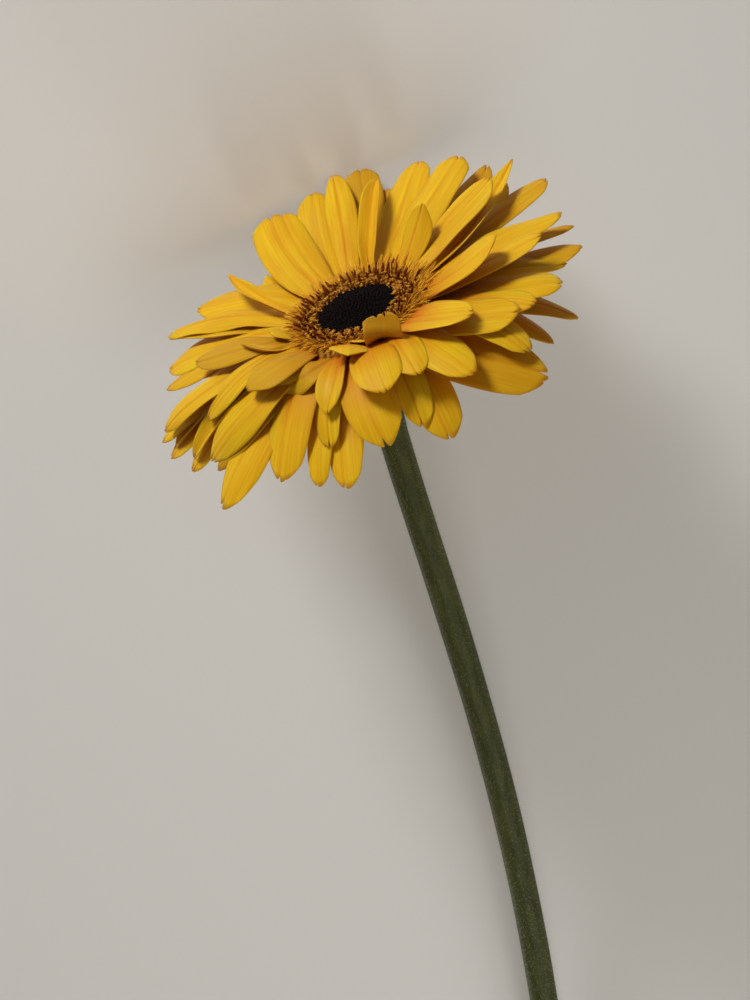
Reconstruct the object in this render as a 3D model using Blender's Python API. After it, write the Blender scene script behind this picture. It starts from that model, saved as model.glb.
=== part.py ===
"""A cut gerbera daisy, lying on a table: scape, involucre, ray florets, disc florets and dark eye.

The bloom is worked out in its own frame, in millimetres: X to its right, Y to the side away from the
viewer and Z up its axis, from the level of the collar that the florets stand on. Each ray floret is
placed by where its tip stands in a 750 by 1000 picture of the bloom and by how high that tip is: its
place is where the line of sight through that picture point meets that level. The bloom then leans over
on the petals of its far side, and the scape runs from under it down to the table.
"""
import math
from dataclasses import dataclass

import bmesh
import bpy
from mathutils import Matrix, Vector

MM = 0.001

# Where the picture is taken from: the span of the bloom in it gives the distance
BLOOM_SPAN = 105.0
BLOOM_SPAN_PIXELS = 467.0
FOCAL_LENGTH_PIXELS = 3462.0
PICTURE_CENTRE = (375.0, 500.0)
EYE_PIXEL = (357.0, 310.0)
VIEW_ELEVATION = math.radians(31.5)
VIEW_ROLL = math.radians(23.7)

# How the cut flower lies: the bloom's axis rises a little, and the scape comes down from it
REST_ANGLE = math.radians(10.0)
YAW = math.radians(6.0)
HEAD_CENTRE = (0.0, 143.0, 46.5)

# Scape
SCAPE_RADIUS = 3.6
SCAPE_NECK_RADIUS = 4.4
SCAPE_NECK_LENGTH = 14.0
SCAPE_STRAIGHT = 58.4
SCAPE_FOOT = (-21.8, -300.51, -42.9)
SCAPE_KNEE = (32.7, 130.0, 0.0)
SCAPE_SIDES = 12
SCAPE_RINGS = 18

# Receptacle and involucre
GAP = 0.3
RECEPTACLE_TOP = -2.5
CUP_LEAN = 0.13
INVOLUCRE_PROFILE = ((4.6, -16.5), (6.6, -14.5), (10.2, -11.5), (13.2, -8.0), (15.0, -5.0), (15.7, -2.5))
INVOLUCRE_SIDES = 22
BRACT_SINK = 1.1
BRACT_WIDTH = 2.9

# Collar that the ray florets stand on, and the two middles inside it
COLLAR_INNER_RADIUS = 13.6
COLLAR_OUTER_RADIUS = 16.6
COLLAR_TOP = 2.0
FLORET_RING_RADII = (9.8, 13.3)
FLORET_RING_TOP = 1.6
DISC_FLORET_ROWS = 5
DISC_FLORETS_IN_ROW = 32
DISC_FLORET_HEIGHTS = (1.6, 2.2)
DISC_FLORET_LEAN = 0.35
EYE_RADIUS = 9.5
EYE_RIM_HEIGHT = 2.2
EYE_DOME = 1.0
BUD_HEIGHT = 0.45
BUD_ROWS = 6
BUDS_IN_ROW = 20

# Ray floret blade
BLADE_THICKNESS = 0.62
BLADE_STATIONS = (0.0, 0.25, 0.52, 0.80, 1.0)
BLADE_CLAW = 0.4
BLADE_WIDEST = 0.62
TIP_NOTCH = 0.035
ROOT_DEPTH = 1.0
TIP_CLEARANCE = 0.9


@dataclass(frozen=True)
class Whorl:
    """A layer of ray florets: where its claws leave the collar and how steeply they rise, in degrees."""

    radius: float
    level: float
    rise: float


INNER = Whorl(radius=14.9, level=1.6, rise=26.0)
MIDDLE = Whorl(radius=15.4, level=0.5, rise=14.0)
OUTER = Whorl(radius=15.9, level=-0.8, rise=4.0)


@dataclass(frozen=True)
class Ray:
    """One ray floret: tip in the picture, level of the tip and width in mm, angles in degrees.

    lean turns the root round the bloom, bend bows the blade sideways, and fold lifts both long edges.
    twist turns the blade about its own length, and lift moves it towards the viewer, in mm.
    A floret that rests has its tip on the table, which then gives its level.
    """

    tip: tuple
    level: float
    width: float
    whorl: Whorl
    lean: float = 0.0
    bend: float = 0.0
    fold: float = -10.0
    rise: float = None
    reach: float = 0.45
    blunt: float = 0.5
    twist: float = 0.0
    lift: float = 0.0
    rests: bool = False


RAYS = (
    Ray(tip=(272, 217), level=8.0, width=13.2, whorl=MIDDLE, lean=4, bend=2.5, blunt=0.8, lift=0.3, rests=True),
    Ray(tip=(313, 190), level=9.0, width=11.0, whorl=OUTER, lean=8, lift=-0.3, rests=True),
    Ray(tip=(333, 174), level=11.0, width=7.4, whorl=INNER, lean=4, bend=-3.0, blunt=0.35, rests=True),
    Ray(tip=(359, 167), level=9.5, width=10.2, whorl=OUTER, blunt=0.7, lift=0.4, rests=True),
    Ray(tip=(376, 176), level=11.0, width=6.8, whorl=INNER, fold=50),
    Ray(tip=(385, 187), level=6.0, width=9.5, whorl=OUTER, lift=-0.4),
    Ray(tip=(418, 158), level=8.5, width=10.5, whorl=MIDDLE, lean=-1, bend=1.0, lift=-1.3),
    Ray(tip=(459, 157), level=8.0, width=11.0, whorl=MIDDLE, lean=2, bend=1.0, blunt=0.65, lift=1.4),
    Ray(tip=(424, 203), level=14.0, width=8.5, whorl=INNER, lean=8),
    Ray(tip=(488, 166), level=4.0, width=11.0, whorl=OUTER, blunt=0.65, lift=-0.3),
    Ray(tip=(492, 179), level=11.0, width=10.0, whorl=INNER, lean=3, bend=0.0),
    Ray(tip=(512, 157), level=7.0, width=8.0, whorl=MIDDLE, lean=-16, bend=-4.5, fold=30),
    Ray(tip=(507, 184), level=3.0, width=8.0, whorl=OUTER, lean=-8, lift=0.3),
    Ray(tip=(547, 179), level=2.5, width=11.0, whorl=MIDDLE, lean=-4, bend=0.8, lift=-1.7),
    Ray(tip=(562, 215), level=1.0, width=10.5, whorl=MIDDLE, lift=1.4),
    Ray(tip=(575, 227), level=-4.0, width=8.0, whorl=OUTER, lean=5, bend=2.0),
    Ray(tip=(541, 234), level=5.0, width=10.0, whorl=MIDDLE, lean=-3, lift=1.1),
    Ray(tip=(497, 235), level=11.0, width=11.2, whorl=INNER, bend=-1.5),
    Ray(tip=(584, 246), level=-3.0, width=11.5, whorl=OUTER, lift=-4.0),
    Ray(tip=(568, 264), level=-4.5, width=9.5, whorl=MIDDLE, lean=3, lift=-2.8),
    Ray(tip=(562, 279), level=-4.0, width=12.0, whorl=OUTER, lean=-4, lift=3.0),
    Ray(tip=(535, 302), level=-3.0, width=9.5, whorl=OUTER, lean=4, lift=3.9),
    Ray(tip=(520, 310), level=-1.0, width=13.5, whorl=MIDDLE, lean=-12, bend=-1.2, lift=1.4),
    Ray(tip=(474, 313), level=5.0, width=11.5, whorl=INNER, lean=-8, bend=-1.2, fold=5),
    Ray(tip=(580, 316), level=-10.0, width=8.5, whorl=OUTER, lean=8, bend=-1.0, lift=-3.5),
    Ray(tip=(556, 341), level=-12.5, width=9.0, whorl=OUTER, lean=6, lift=-3.0),
    Ray(tip=(532, 349), level=-8.0, width=9.0, whorl=MIDDLE, lean=4, lift=3.0),
    Ray(tip=(549, 377), level=-13.5, width=14.5, whorl=OUTER, lean=-18),
    Ray(tip=(475, 372), level=-2.0, width=10.8, whorl=INNER, lean=4, bend=-4.5, lift=-1.6),
    Ray(tip=(419, 374), level=0.0, width=9.0, whorl=INNER, lean=4, lift=1.0),
    Ray(tip=(385, 392), level=-1.0, width=11.5, whorl=INNER, lift=3.1),
    Ray(tip=(383, 316), level=8.0, width=9.0, whorl=INNER, lean=-8, fold=-20, rise=22, reach=1.15, blunt=1.0, twist=-19, lift=2.0),
    Ray(tip=(388, 447), level=-12.0, width=12.6, whorl=MIDDLE, lean=-4, lift=1.6),
    Ray(tip=(425, 427), level=-11.0, width=8.0, whorl=MIDDLE, lean=6),
    Ray(tip=(453, 438), level=-14.5, width=11.0, whorl=OUTER, lean=4, lift=-1.0),
    Ray(tip=(347, 361), level=4.0, width=9.0, whorl=INNER, rise=60, twist=-20, lift=4.0),
    Ray(tip=(364, 343), level=5.0, width=7.0, whorl=INNER, rise=60, twist=-25, lift=-0.5),
    Ray(tip=(326, 415), level=-5.0, width=8.0, whorl=MIDDLE, lean=4, fold=15, lift=3.1),
    Ray(tip=(329, 449), level=-10.5, width=7.0, whorl=MIDDLE),
    Ray(tip=(318, 487), level=-15.5, width=6.4, whorl=OUTER, lean=4, bend=-1.2, lift=-2.4),
    Ray(tip=(348, 489), level=-16.5, width=9.0, whorl=OUTER, lean=2, lift=-3.8),
    Ray(tip=(282, 482), level=-15.5, width=12.0, whorl=MIDDLE, lean=2, bend=0.5, lift=0.4),
    Ray(tip=(221, 509), level=-18.5, width=11.5, whorl=OUTER, lean=10, bend=1.5, lift=-2.9),
    Ray(tip=(244, 388), level=2.0, width=11.5, whorl=INNER, lean=10, blunt=0.35, lift=2.5),
    Ray(tip=(273, 387), level=-1.5, width=9.0, whorl=MIDDLE, lean=28, lift=4.0),
    Ray(tip=(208, 462), level=-14.0, width=10.2, whorl=MIDDLE, lean=24, bend=0.5, lift=1.6),
    Ray(tip=(217, 471), level=-15.5, width=6.5, whorl=OUTER, lean=20, lift=1.2),
    Ray(tip=(189, 471), level=-16.5, width=9.0, whorl=OUTER, lean=12, lift=-4.0),
    Ray(tip=(205, 420), level=-7.0, width=8.0, whorl=INNER, lean=12, lift=2.5),
    Ray(tip=(167, 457), level=-14.5, width=10.5, whorl=OUTER, lean=8, lift=-4.0),
    Ray(tip=(177, 447), level=-12.5, width=8.0, whorl=MIDDLE, lean=12, fold=35, lift=-3.8),
    Ray(tip=(159, 441), level=-11.0, width=8.5, whorl=OUTER, lean=4, lift=-4.0),
    Ray(tip=(160, 429), level=-8.0, width=9.5, whorl=MIDDLE, lean=8, lift=-0.4),
    Ray(tip=(193, 459), level=-14.5, width=8.0, whorl=MIDDLE, lean=16, fold=40, lift=-1.7),
    Ray(tip=(166, 389), level=-7.0, width=9.5, whorl=OUTER, lean=-2, lift=0.4),
    Ray(tip=(167, 367), level=-4.0, width=12.0, whorl=MIDDLE, lean=5, bend=-1.5, lift=-4.0),
    Ray(tip=(178, 380), level=-7.0, width=9.0, whorl=OUTER, lean=8, lift=-2.8),
    Ray(tip=(197, 363), level=-1.0, width=8.5, whorl=INNER, lean=18, bend=3.0, lift=2.6),
    Ray(tip=(168, 336), level=-2.0, width=7.8, whorl=MIDDLE, lean=4, bend=-2.8),
    Ray(tip=(197, 311), level=-1.0, width=15.0, whorl=OUTER, lean=-14, bend=-2.5, lift=2.7),
    Ray(tip=(229, 274), level=5.0, width=5.6, whorl=INNER, lean=22, fold=40, blunt=0.1),
    Ray(tip=(271, 278), level=2.0, width=10.5, whorl=OUTER, lean=4, lift=-2.8),
    Ray(tip=(241, 345), level=5.0, width=3.4, whorl=INNER, lean=10, bend=5.0, fold=30, rise=10, blunt=0.3, lift=1.8),
    Ray(tip=(169, 336), level=-4.0, width=5.6, whorl=OUTER, lean=4, lift=4.0),
    Ray(tip=(268, 330), level=6.0, width=6.0, whorl=INNER, lean=2, rise=55),
)


def clear_scene():
    """Take out whatever the scene holds."""
    for thing in list(bpy.data.objects):
        bpy.data.objects.remove(thing, do_unlink=True)


def make_material(name, colour, roughness):
    """A plain Principled material in a linear colour."""
    material = bpy.data.materials.new(name)
    material.use_nodes = True
    shader = material.node_tree.nodes["Principled BSDF"]
    shader.inputs["Base Color"].default_value = (*colour, 1.0)
    shader.inputs["Roughness"].default_value = roughness
    shader.inputs["Metallic"].default_value = 0.0
    return material


def make_object(name, bm, material, parent=None):
    """One object from a bmesh in millimetres, its faces outward, under its parent."""
    bmesh.ops.scale(bm, vec=(MM, MM, MM), verts=bm.verts)
    mesh = bpy.data.meshes.new(name)
    bm.to_mesh(mesh)
    bm.free()
    mesh.materials.append(material)
    thing = bpy.data.objects.new(name, mesh)
    bpy.context.scene.collection.objects.link(thing)
    thing.parent = parent
    return thing


def solid_of_rings(rings, closed_ends=True):
    """A closed skin over rings of points, each quad cut the same way."""
    bm = bmesh.new()
    rows = [[bm.verts.new(point) for point in ring] for ring in rings]
    for low, high in zip(rows, rows[1:]):
        count = len(low)
        for i in range(count):
            j = (i + 1) % count
            bm.faces.new((low[i], low[j], high[j]))
            bm.faces.new((low[i], high[j], high[i]))
    if closed_ends:
        bm.faces.new(list(reversed(rows[0])))
        bm.faces.new(rows[-1])
    bmesh.ops.recalc_face_normals(bm, faces=bm.faces)
    return bm


def circle(radius, level, sides):
    """Points round the bloom's axis."""
    angles = [2.0 * math.pi * i / sides for i in range(sides)]
    return [(radius * math.cos(angle), radius * math.sin(angle), level) for angle in angles]


def turned(profile, sides, whole_ring=False):
    """A turned solid from (radius, level) points: capped at both ends, or a ring if whole_ring."""
    rings = [circle(radius, level, sides) for radius, level in profile]
    if whole_ring:
        rings.append(rings[0])
    bm = solid_of_rings(rings, closed_ends=not whole_ring)
    bmesh.ops.remove_doubles(bm, verts=bm.verts, dist=0.0001)
    bmesh.ops.recalc_face_normals(bm, faces=bm.faces)
    return bm


def fuse(target, repeats, solver="EXACT"):
    """Join a list of bmeshes, in mm, to the target object by one Boolean union on a collection."""
    collection = bpy.data.collections.new(target.name + "_repeats")
    bpy.context.scene.collection.children.link(collection)
    for index, bm in enumerate(repeats):
        piece = make_object(f"{target.name}_{index}", bm, target.data.materials[0], target.parent)
        bpy.context.scene.collection.objects.unlink(piece)
        collection.objects.link(piece)
    union = target.modifiers.new("union", "BOOLEAN")
    union.operation = "UNION"
    union.operand_type = "COLLECTION"
    union.collection = collection
    union.solver = solver
    with bpy.context.temp_override(object=target, active_object=target):
        bpy.ops.object.modifier_apply(modifier=union.name)
    for piece in list(collection.objects):
        bpy.data.objects.remove(piece, do_unlink=True)
    bpy.data.collections.remove(collection)
    keep_outer_skin(target)


def keep_outer_skin(target):
    """Fill the pockets that a union has sealed: only its one outer skin stays."""
    bm = bmesh.new()
    bm.from_mesh(target.data)
    left = set(bm.faces)
    skins = []
    while left:
        skin = [left.pop()]
        for face in skin:
            for edge in face.edges:
                for other in edge.link_faces:
                    if other in left:
                        left.remove(other)
                        skin.append(other)
        skins.append(skin)
    outer = max(skins, key=len)
    for skin in skins:
        if skin is not outer:
            bmesh.ops.delete(bm, geom=skin, context="FACES")
    bm.to_mesh(target.data)
    bm.free()


def picture_axes():
    """The picture's right, up and towards-the-viewer directions and the viewer's place."""
    right = Vector((1.0, 0.0, 0.0))
    up = Vector((0.0, math.sin(VIEW_ELEVATION), math.cos(VIEW_ELEVATION)))
    back = Vector((0.0, -math.cos(VIEW_ELEVATION), math.sin(VIEW_ELEVATION)))
    turned_right = right * math.cos(VIEW_ROLL) - up * math.sin(VIEW_ROLL)
    turned_up = right * math.sin(VIEW_ROLL) + up * math.cos(VIEW_ROLL)
    scale = BLOOM_SPAN / BLOOM_SPAN_PIXELS
    aside = (EYE_PIXEL[0] - PICTURE_CENTRE[0]) * scale
    above = (PICTURE_CENTRE[1] - EYE_PIXEL[1]) * scale
    eye = Vector((0.0, 0.0, EYE_RIM_HEIGHT))
    place = eye - turned_right * aside - turned_up * above + back * FOCAL_LENGTH_PIXELS * scale
    return turned_right, turned_up, back, place


def sight(pixel, point, normal):
    """Where the line of sight through a picture point meets a plane."""
    right, up, back, place = picture_axes()
    aside = (pixel[0] - PICTURE_CENTRE[0]) / FOCAL_LENGTH_PIXELS
    above = (PICTURE_CENTRE[1] - pixel[1]) / FOCAL_LENGTH_PIXELS
    ray = right * aside + up * above - back
    return place + ray * ((point - place).dot(normal) / ray.dot(normal))


def tip_place(ray):
    """A floret's tip in the bloom's frame: at its level, or on the table if it rests."""
    if ray.rests:
        table_up = Vector((0.0, -math.cos(REST_ANGLE), math.sin(REST_ANGLE)))
        return sight(ray.tip, table_up * (TIP_CLEARANCE - HEAD_CENTRE[2]), table_up)
    return sight(ray.tip, Vector((0.0, 0.0, ray.level)), Vector((0.0, 0.0, 1.0)))


def blade_width(share, blunt):
    """Width of the blade at a share of its length, against its widest: claw, blade and blunt tip."""
    if share < BLADE_WIDEST:
        swell = math.sin(0.5 * math.pi * share / BLADE_WIDEST)
        return BLADE_CLAW + (1.0 - BLADE_CLAW) * swell ** 0.8
    fall = (share - BLADE_WIDEST) / (1.0 - BLADE_WIDEST)
    return 1.0 - (1.0 - blunt) * fall ** (1.2 + 2.8 * blunt)


def lift_share(share, rests):
    """How much of its lift a floret has: none at its root, nor at a tip that rests on the table."""
    if rests:
        return math.sin(math.pi * share)
    grown = min(share / 0.6, 1.0)
    return grown * grown * (3.0 - 2.0 * grown)


def blade_frames(ray):
    """Centre, side and face directions of a floret at each station along its curve."""
    tip = tip_place(ray)
    azimuth = math.atan2(tip.y, tip.x) + math.radians(ray.lean)
    radial = Vector((math.cos(azimuth), math.sin(azimuth), 0.0))
    across = Vector((-math.sin(azimuth), math.cos(azimuth), 0.0))
    rise = math.radians(ray.whorl.rise if ray.rise is None else ray.rise)
    root = radial * ray.whorl.radius + Vector((0.0, 0.0, ray.whorl.level))
    start = radial * math.cos(rise) + Vector((0.0, 0.0, math.sin(rise)))
    bow = root + start * (tip - root).length * ray.reach + across * ray.bend
    towards = picture_axes()[2]
    frames = []
    for share in BLADE_STATIONS:
        centre = root * (1.0 - share) ** 2 + bow * 2.0 * share * (1.0 - share) + tip * share ** 2
        centre += towards * ray.lift * lift_share(share, ray.rests)
        along = ((bow - root) * (1.0 - share) + (tip - bow) * share).normalized()
        side = across
        if ray.rests:
            side = across.lerp(Vector((-1.0, 0.0, 0.0)), share)
        side = (side - along * side.dot(along)).normalized()
        side = Matrix.Rotation(math.radians(ray.twist) * min(share / 0.5, 1.0), 3, along) @ side
        frames.append((centre, along, side, along.cross(side)))
    first_centre, first_along, first_side, first_face = frames[0]
    frames[0] = (first_centre - start * ROOT_DEPTH, first_along, first_side, first_face)
    return frames


def blade(ray):
    """The closed blade of a floret: three columns of points above and below, two lobes at the tip."""
    fold = math.radians(ray.fold)
    length = (tip_place(ray).xy.length - ray.whorl.radius)
    rings = []
    for share, (centre, along, side, face) in zip(BLADE_STATIONS, blade_frames(ray)):
        half = 0.5 * ray.width * blade_width(share, ray.blunt)
        left = centre + side * half * math.cos(fold) + face * half * math.sin(fold)
        right = centre - side * half * math.cos(fold) + face * half * math.sin(fold)
        middle = centre
        if share == 1.0:
            middle = centre - along * TIP_NOTCH * max(length, ray.width)
        skin = face * (0.5 * BLADE_THICKNESS / math.cos(fold))
        rings.append((left + skin, middle + skin, right + skin, right - skin, middle - skin, left - skin))
    bm = bmesh.new()
    rows = [[bm.verts.new(point) for point in ring] for ring in rings]
    for low, high in zip(rows, rows[1:]):
        for i, j in ((0, 1), (5, 4)):
            bm.faces.new((low[i], low[j], high[j]))
            bm.faces.new((low[i], high[j], high[i]))
        for i, j in ((1, 2), (4, 3)):
            bm.faces.new((low[i], low[j], high[i]))
            bm.faces.new((low[j], high[j], high[i]))
        for i, j in ((2, 3), (5, 0)):
            bm.faces.new((low[i], low[j], high[j]))
            bm.faces.new((low[i], high[j], high[i]))
    for row in (rows[0], rows[-1]):
        bm.faces.new((row[0], row[1], row[4]))
        bm.faces.new((row[0], row[4], row[5]))
        bm.faces.new((row[1], row[2], row[3]))
        bm.faces.new((row[1], row[3], row[4]))
    bmesh.ops.recalc_face_normals(bm, faces=bm.faces)
    return bm


def build_ray_florets(head):
    """All the yellow ray florets, fused to the collar of their claws."""
    petal = make_material("ray_floret", (0.80, 0.48, 0.02), 0.5)
    low = RECEPTACLE_TOP + GAP
    profile = (
        (COLLAR_INNER_RADIUS, low),
        (COLLAR_OUTER_RADIUS, low),
        (COLLAR_OUTER_RADIUS, 0.6),
        (0.5 * (COLLAR_INNER_RADIUS + COLLAR_OUTER_RADIUS), COLLAR_TOP),
        (COLLAR_INNER_RADIUS, COLLAR_TOP),
    )
    collar = make_object("ray_florets", turned(profile, 36, whole_ring=True), petal, head)
    fuse(collar, [blade(ray) for ray in RAYS])
    return collar


def build_disc_florets(head):
    """The golden ring of disc florets: a low core with its florets raised from it by a formula."""
    golden = make_material("disc_floret", (0.42, 0.17, 0.02), 0.6)
    low = RECEPTACLE_TOP + GAP
    inner, outer = FLORET_RING_RADII
    sides = 2 * DISC_FLORETS_IN_ROW
    rings = [circle(inner, low, sides), circle(outer, low, sides), circle(outer, FLORET_RING_TOP, sides)]
    pitch = (outer - inner) / (DISC_FLORET_ROWS + 1)
    for row in range(DISC_FLORET_ROWS):
        radius = outer - pitch * (row + 1)
        share = row / (DISC_FLORET_ROWS - 1)
        height = DISC_FLORET_HEIGHTS[0] * (1.0 - share) + DISC_FLORET_HEIGHTS[1] * share
        ring = circle(radius, FLORET_RING_TOP, sides)
        mouths = circle(radius + DISC_FLORET_LEAN * (1.0 - share), FLORET_RING_TOP + height, sides)
        rings.append([mouths[i] if (i + row) % 2 else ring[i] for i in range(sides)])
    rings.append(circle(inner, FLORET_RING_TOP, sides))
    rings.append(rings[0])
    bm = solid_of_rings(rings, closed_ends=False)
    bmesh.ops.remove_doubles(bm, verts=bm.verts, dist=0.0001)
    bmesh.ops.recalc_face_normals(bm, faces=bm.faces)
    return make_object("disc_florets", bm, golden, head)


def build_eye(head):
    """The dark eye of closed buds: a low dome whose buds are raised by a formula in crossing rows."""
    dark = make_material("disc_bud", (0.012, 0.006, 0.004), 0.55)
    sides = 2 * BUDS_IN_ROW
    rings = [circle(EYE_RADIUS, RECEPTACLE_TOP + GAP, sides)]
    for row in range(BUD_ROWS, 0, -1):
        share = row / BUD_ROWS
        height = EYE_RIM_HEIGHT + EYE_DOME * math.cos(0.5 * math.pi * share)
        ring = circle(EYE_RADIUS * share, height, sides)
        buds = circle(EYE_RADIUS * share, height + BUD_HEIGHT * share, sides)
        rings.append([buds[i] if (i + row) % 2 else ring[i] for i in range(sides)])
    return make_object("disc_centre", solid_of_rings(rings), dark, head)


def bract(angle, low_share, high_share, tip_radius, tip_level):
    """A narrow pointed bract with a ridge, from low on the cup to a free tip."""
    outward = Vector((math.cos(angle), math.sin(angle), 0.0))
    side = Vector((-math.sin(angle), math.cos(angle), 0.0))
    up = Vector((0.0, 0.0, 1.0))
    rings = []
    for share, width in ((low_share, 0.7), (high_share, 1.0)):
        radius, level = cup_point(share)
        centre = outward * (radius - BRACT_SINK) + up * level
        ridge = outward * (radius + 0.8) + up * (level - 0.4)
        half = side * 0.5 * BRACT_WIDTH * width
        rings.append((centre + half, ridge, centre - half))
    tip = outward * tip_radius + up * tip_level
    bm = bmesh.new()
    rows = [[bm.verts.new(point) for point in ring] for ring in rings]
    point = bm.verts.new(tip)
    bm.faces.new(rows[0])
    for i in range(3):
        j = (i + 1) % 3
        bm.faces.new((rows[0][i], rows[0][j], rows[1][j]))
        bm.faces.new((rows[0][i], rows[1][j], rows[1][i]))
        bm.faces.new((rows[1][i], rows[1][j], point))
    bmesh.ops.recalc_face_normals(bm, faces=bm.faces)
    return bm


def cup_point(share):
    """Radius and level on the cup's outside at a share of its height."""
    low = INVOLUCRE_PROFILE[0][1]
    high = INVOLUCRE_PROFILE[-1][1]
    level = low + (high - low) * share
    for (radius_a, level_a), (radius_b, level_b) in zip(INVOLUCRE_PROFILE, INVOLUCRE_PROFILE[1:]):
        if level_a <= level <= level_b:
            part = (level - level_a) / (level_b - level_a)
            return radius_a + (radius_b - radius_a) * part, level
    return INVOLUCRE_PROFILE[-1]


def build_involucre(head):
    """The green receptacle with its rows of bracts."""
    green = make_material("bract", (0.07, 0.12, 0.02), 0.7)
    cup = make_object("involucre", turned(INVOLUCRE_PROFILE, INVOLUCRE_SIDES), green, head)
    rows = (
        (20, 0.42, 0.76, 17.4, -3.1),
        (16, 0.22, 0.52, 15.9, -6.6),
        (10, 0.05, 0.28, 12.2, -10.9),
    )
    bracts = []
    for row, (count, low_share, high_share, tip_radius, tip_level) in enumerate(rows):
        for i in range(count):
            angle = 2.0 * math.pi * (i + 0.23 + 0.37 * row) / count
            bracts.append(bract(angle, low_share, high_share, tip_radius, tip_level))
    fuse(cup, bracts)
    cup.data.transform(lean_matrix())
    return cup


def head_matrix():
    """The bloom's frame in the world, in metres."""
    across = Vector((1.0, 0.0, 0.0))
    away = Vector((0.0, math.sin(REST_ANGLE), -math.cos(REST_ANGLE)))
    axis = Vector((0.0, math.cos(REST_ANGLE), math.sin(REST_ANGLE)))
    turn = Matrix.Rotation(YAW, 3, "Z")
    frame = turn @ Matrix((across, away, axis)).transposed()
    return Matrix.Translation(Vector(HEAD_CENTRE) * MM) @ frame.to_4x4()


def lean_matrix():
    """A shear that leans the cup and the scape's top to one side and leaves the cup's top in place."""
    lean = Matrix.Identity(4)
    lean[0][2] = CUP_LEAN
    lean[0][3] = -CUP_LEAN * RECEPTACLE_TOP * MM
    return lean


def scape_path():
    """Points along the scape in the world, in mm: out of the involucre and down to the table."""
    frame = head_matrix() @ lean_matrix()
    along = (frame.to_3x3() @ Vector((0.0, 0.0, 1.0))).normalized()
    top = frame @ (Vector((0.0, 0.0, INVOLUCRE_PROFILE[0][1] - GAP)) * MM) / MM
    foot = Vector(HEAD_CENTRE) + Vector(SCAPE_FOOT)
    knee_top = top - along * SCAPE_STRAIGHT
    knee_foot = foot + Vector(SCAPE_KNEE)
    points = []
    for i in range(SCAPE_RINGS + 1):
        u = i / SCAPE_RINGS
        v = 1.0 - u
        place = top * v ** 3 + knee_top * 3.0 * v * v * u + knee_foot * 3.0 * v * u * u + foot * u ** 3
        points.append(place)
    return points


def build_scape(parent):
    """The long bare stem, cut across at its foot, a little thicker at its neck, level with the cup there."""
    green = make_material("scape", (0.045, 0.075, 0.014), 0.6)
    points = scape_path()
    rings = []
    travelled = 0.0
    for i, point in enumerate(points):
        ahead = points[min(i + 1, SCAPE_RINGS)]
        behind = points[max(i - 1, 0)]
        along = (ahead - behind).normalized()
        if i:
            travelled += (point - points[i - 1]).length
        else:
            along = head_matrix().to_3x3() @ Vector((0.0, 0.0, -1.0))
        swell = max(0.0, 1.0 - travelled / SCAPE_NECK_LENGTH)
        radius = SCAPE_RADIUS + (SCAPE_NECK_RADIUS - SCAPE_RADIUS) * swell
        side = along.cross(Vector((0.0, 0.0, 1.0))).normalized()
        upright = side.cross(along)
        ring = []
        for k in range(SCAPE_SIDES):
            turn = 2.0 * math.pi * (k + 0.5) / SCAPE_SIDES
            reach = radius / math.cos(math.pi / SCAPE_SIDES)
            ring.append(point + (side * math.cos(turn) + upright * math.sin(turn)) * reach)
        rings.append(ring)
    return make_object("scape", solid_of_rings(rings), green, parent)


def settle(root, pieces):
    """Move the whole flower so that the middle of its box stands on the origin."""
    bpy.context.view_layer.update()
    corners = []
    for piece in pieces:
        corners.extend(piece.matrix_world @ vertex.co for vertex in piece.data.vertices)
    low = Vector(min(corner[i] for corner in corners) for i in range(3))
    high = Vector(max(corner[i] for corner in corners) for i in range(3))
    root.location = Vector((-0.5 * (low.x + high.x), -0.5 * (low.y + high.y), -low.z))
    bpy.context.view_layer.update()


def main():
    """Build the flower."""
    clear_scene()
    root = bpy.data.objects.new("flower", None)
    head = bpy.data.objects.new("bloom", None)
    for empty in (root, head):
        bpy.context.scene.collection.objects.link(empty)
    head.parent = root
    head.matrix_local = head_matrix()
    pieces = [
        build_scape(root),
        build_involucre(head),
        build_ray_florets(head),
        build_disc_florets(head),
        build_eye(head),
    ]
    for piece in pieces:
        piece.data.shade_smooth()
        piece.data.set_sharp_from_angle(angle=math.radians(35.0))
    settle(root, pieces)


main()
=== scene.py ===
"""Looks of a cut gerbera daisy that lies on a pale table.

The bloom is modelled in its own frame, in millimetres: X to its right, Y to the side away from the viewer
and Z up its axis, from the level of the collar that the florets stand on. Each ray floret is placed by
where its tip stands in a 750 by 1000 picture of the bloom and by how high that tip is. Every finished piece
is a plain mesh at the origin, in metres, with its place in its vertices.
"""

import logging
import math
import random
from dataclasses import dataclass
from enum import Enum

import bmesh
import bpy
import numpy as np
from bpy.types import ID, Material, Node, NodeOutputs, NodeTree, Object
from bpy.types import NodeSocket as Socket
from mathutils import Matrix, Vector


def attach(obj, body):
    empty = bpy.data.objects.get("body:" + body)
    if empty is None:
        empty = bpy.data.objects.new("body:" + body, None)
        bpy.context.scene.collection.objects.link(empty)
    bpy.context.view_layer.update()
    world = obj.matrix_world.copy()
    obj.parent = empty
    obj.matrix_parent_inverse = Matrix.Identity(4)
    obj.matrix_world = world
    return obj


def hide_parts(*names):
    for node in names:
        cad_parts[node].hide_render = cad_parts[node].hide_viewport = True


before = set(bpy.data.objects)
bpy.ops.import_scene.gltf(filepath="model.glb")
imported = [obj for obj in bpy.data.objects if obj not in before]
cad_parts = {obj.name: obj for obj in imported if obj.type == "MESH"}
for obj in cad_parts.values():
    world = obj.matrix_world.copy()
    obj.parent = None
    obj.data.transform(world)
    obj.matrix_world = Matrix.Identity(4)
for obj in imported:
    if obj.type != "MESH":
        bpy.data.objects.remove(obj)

LOG = logging.getLogger("gerbera")
MM = 0.001
BODY = "root"
UP = Vector((0.0, 0.0, 1.0))
GOLDEN_TURN = math.pi * (3.0 - math.sqrt(5.0))
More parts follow.
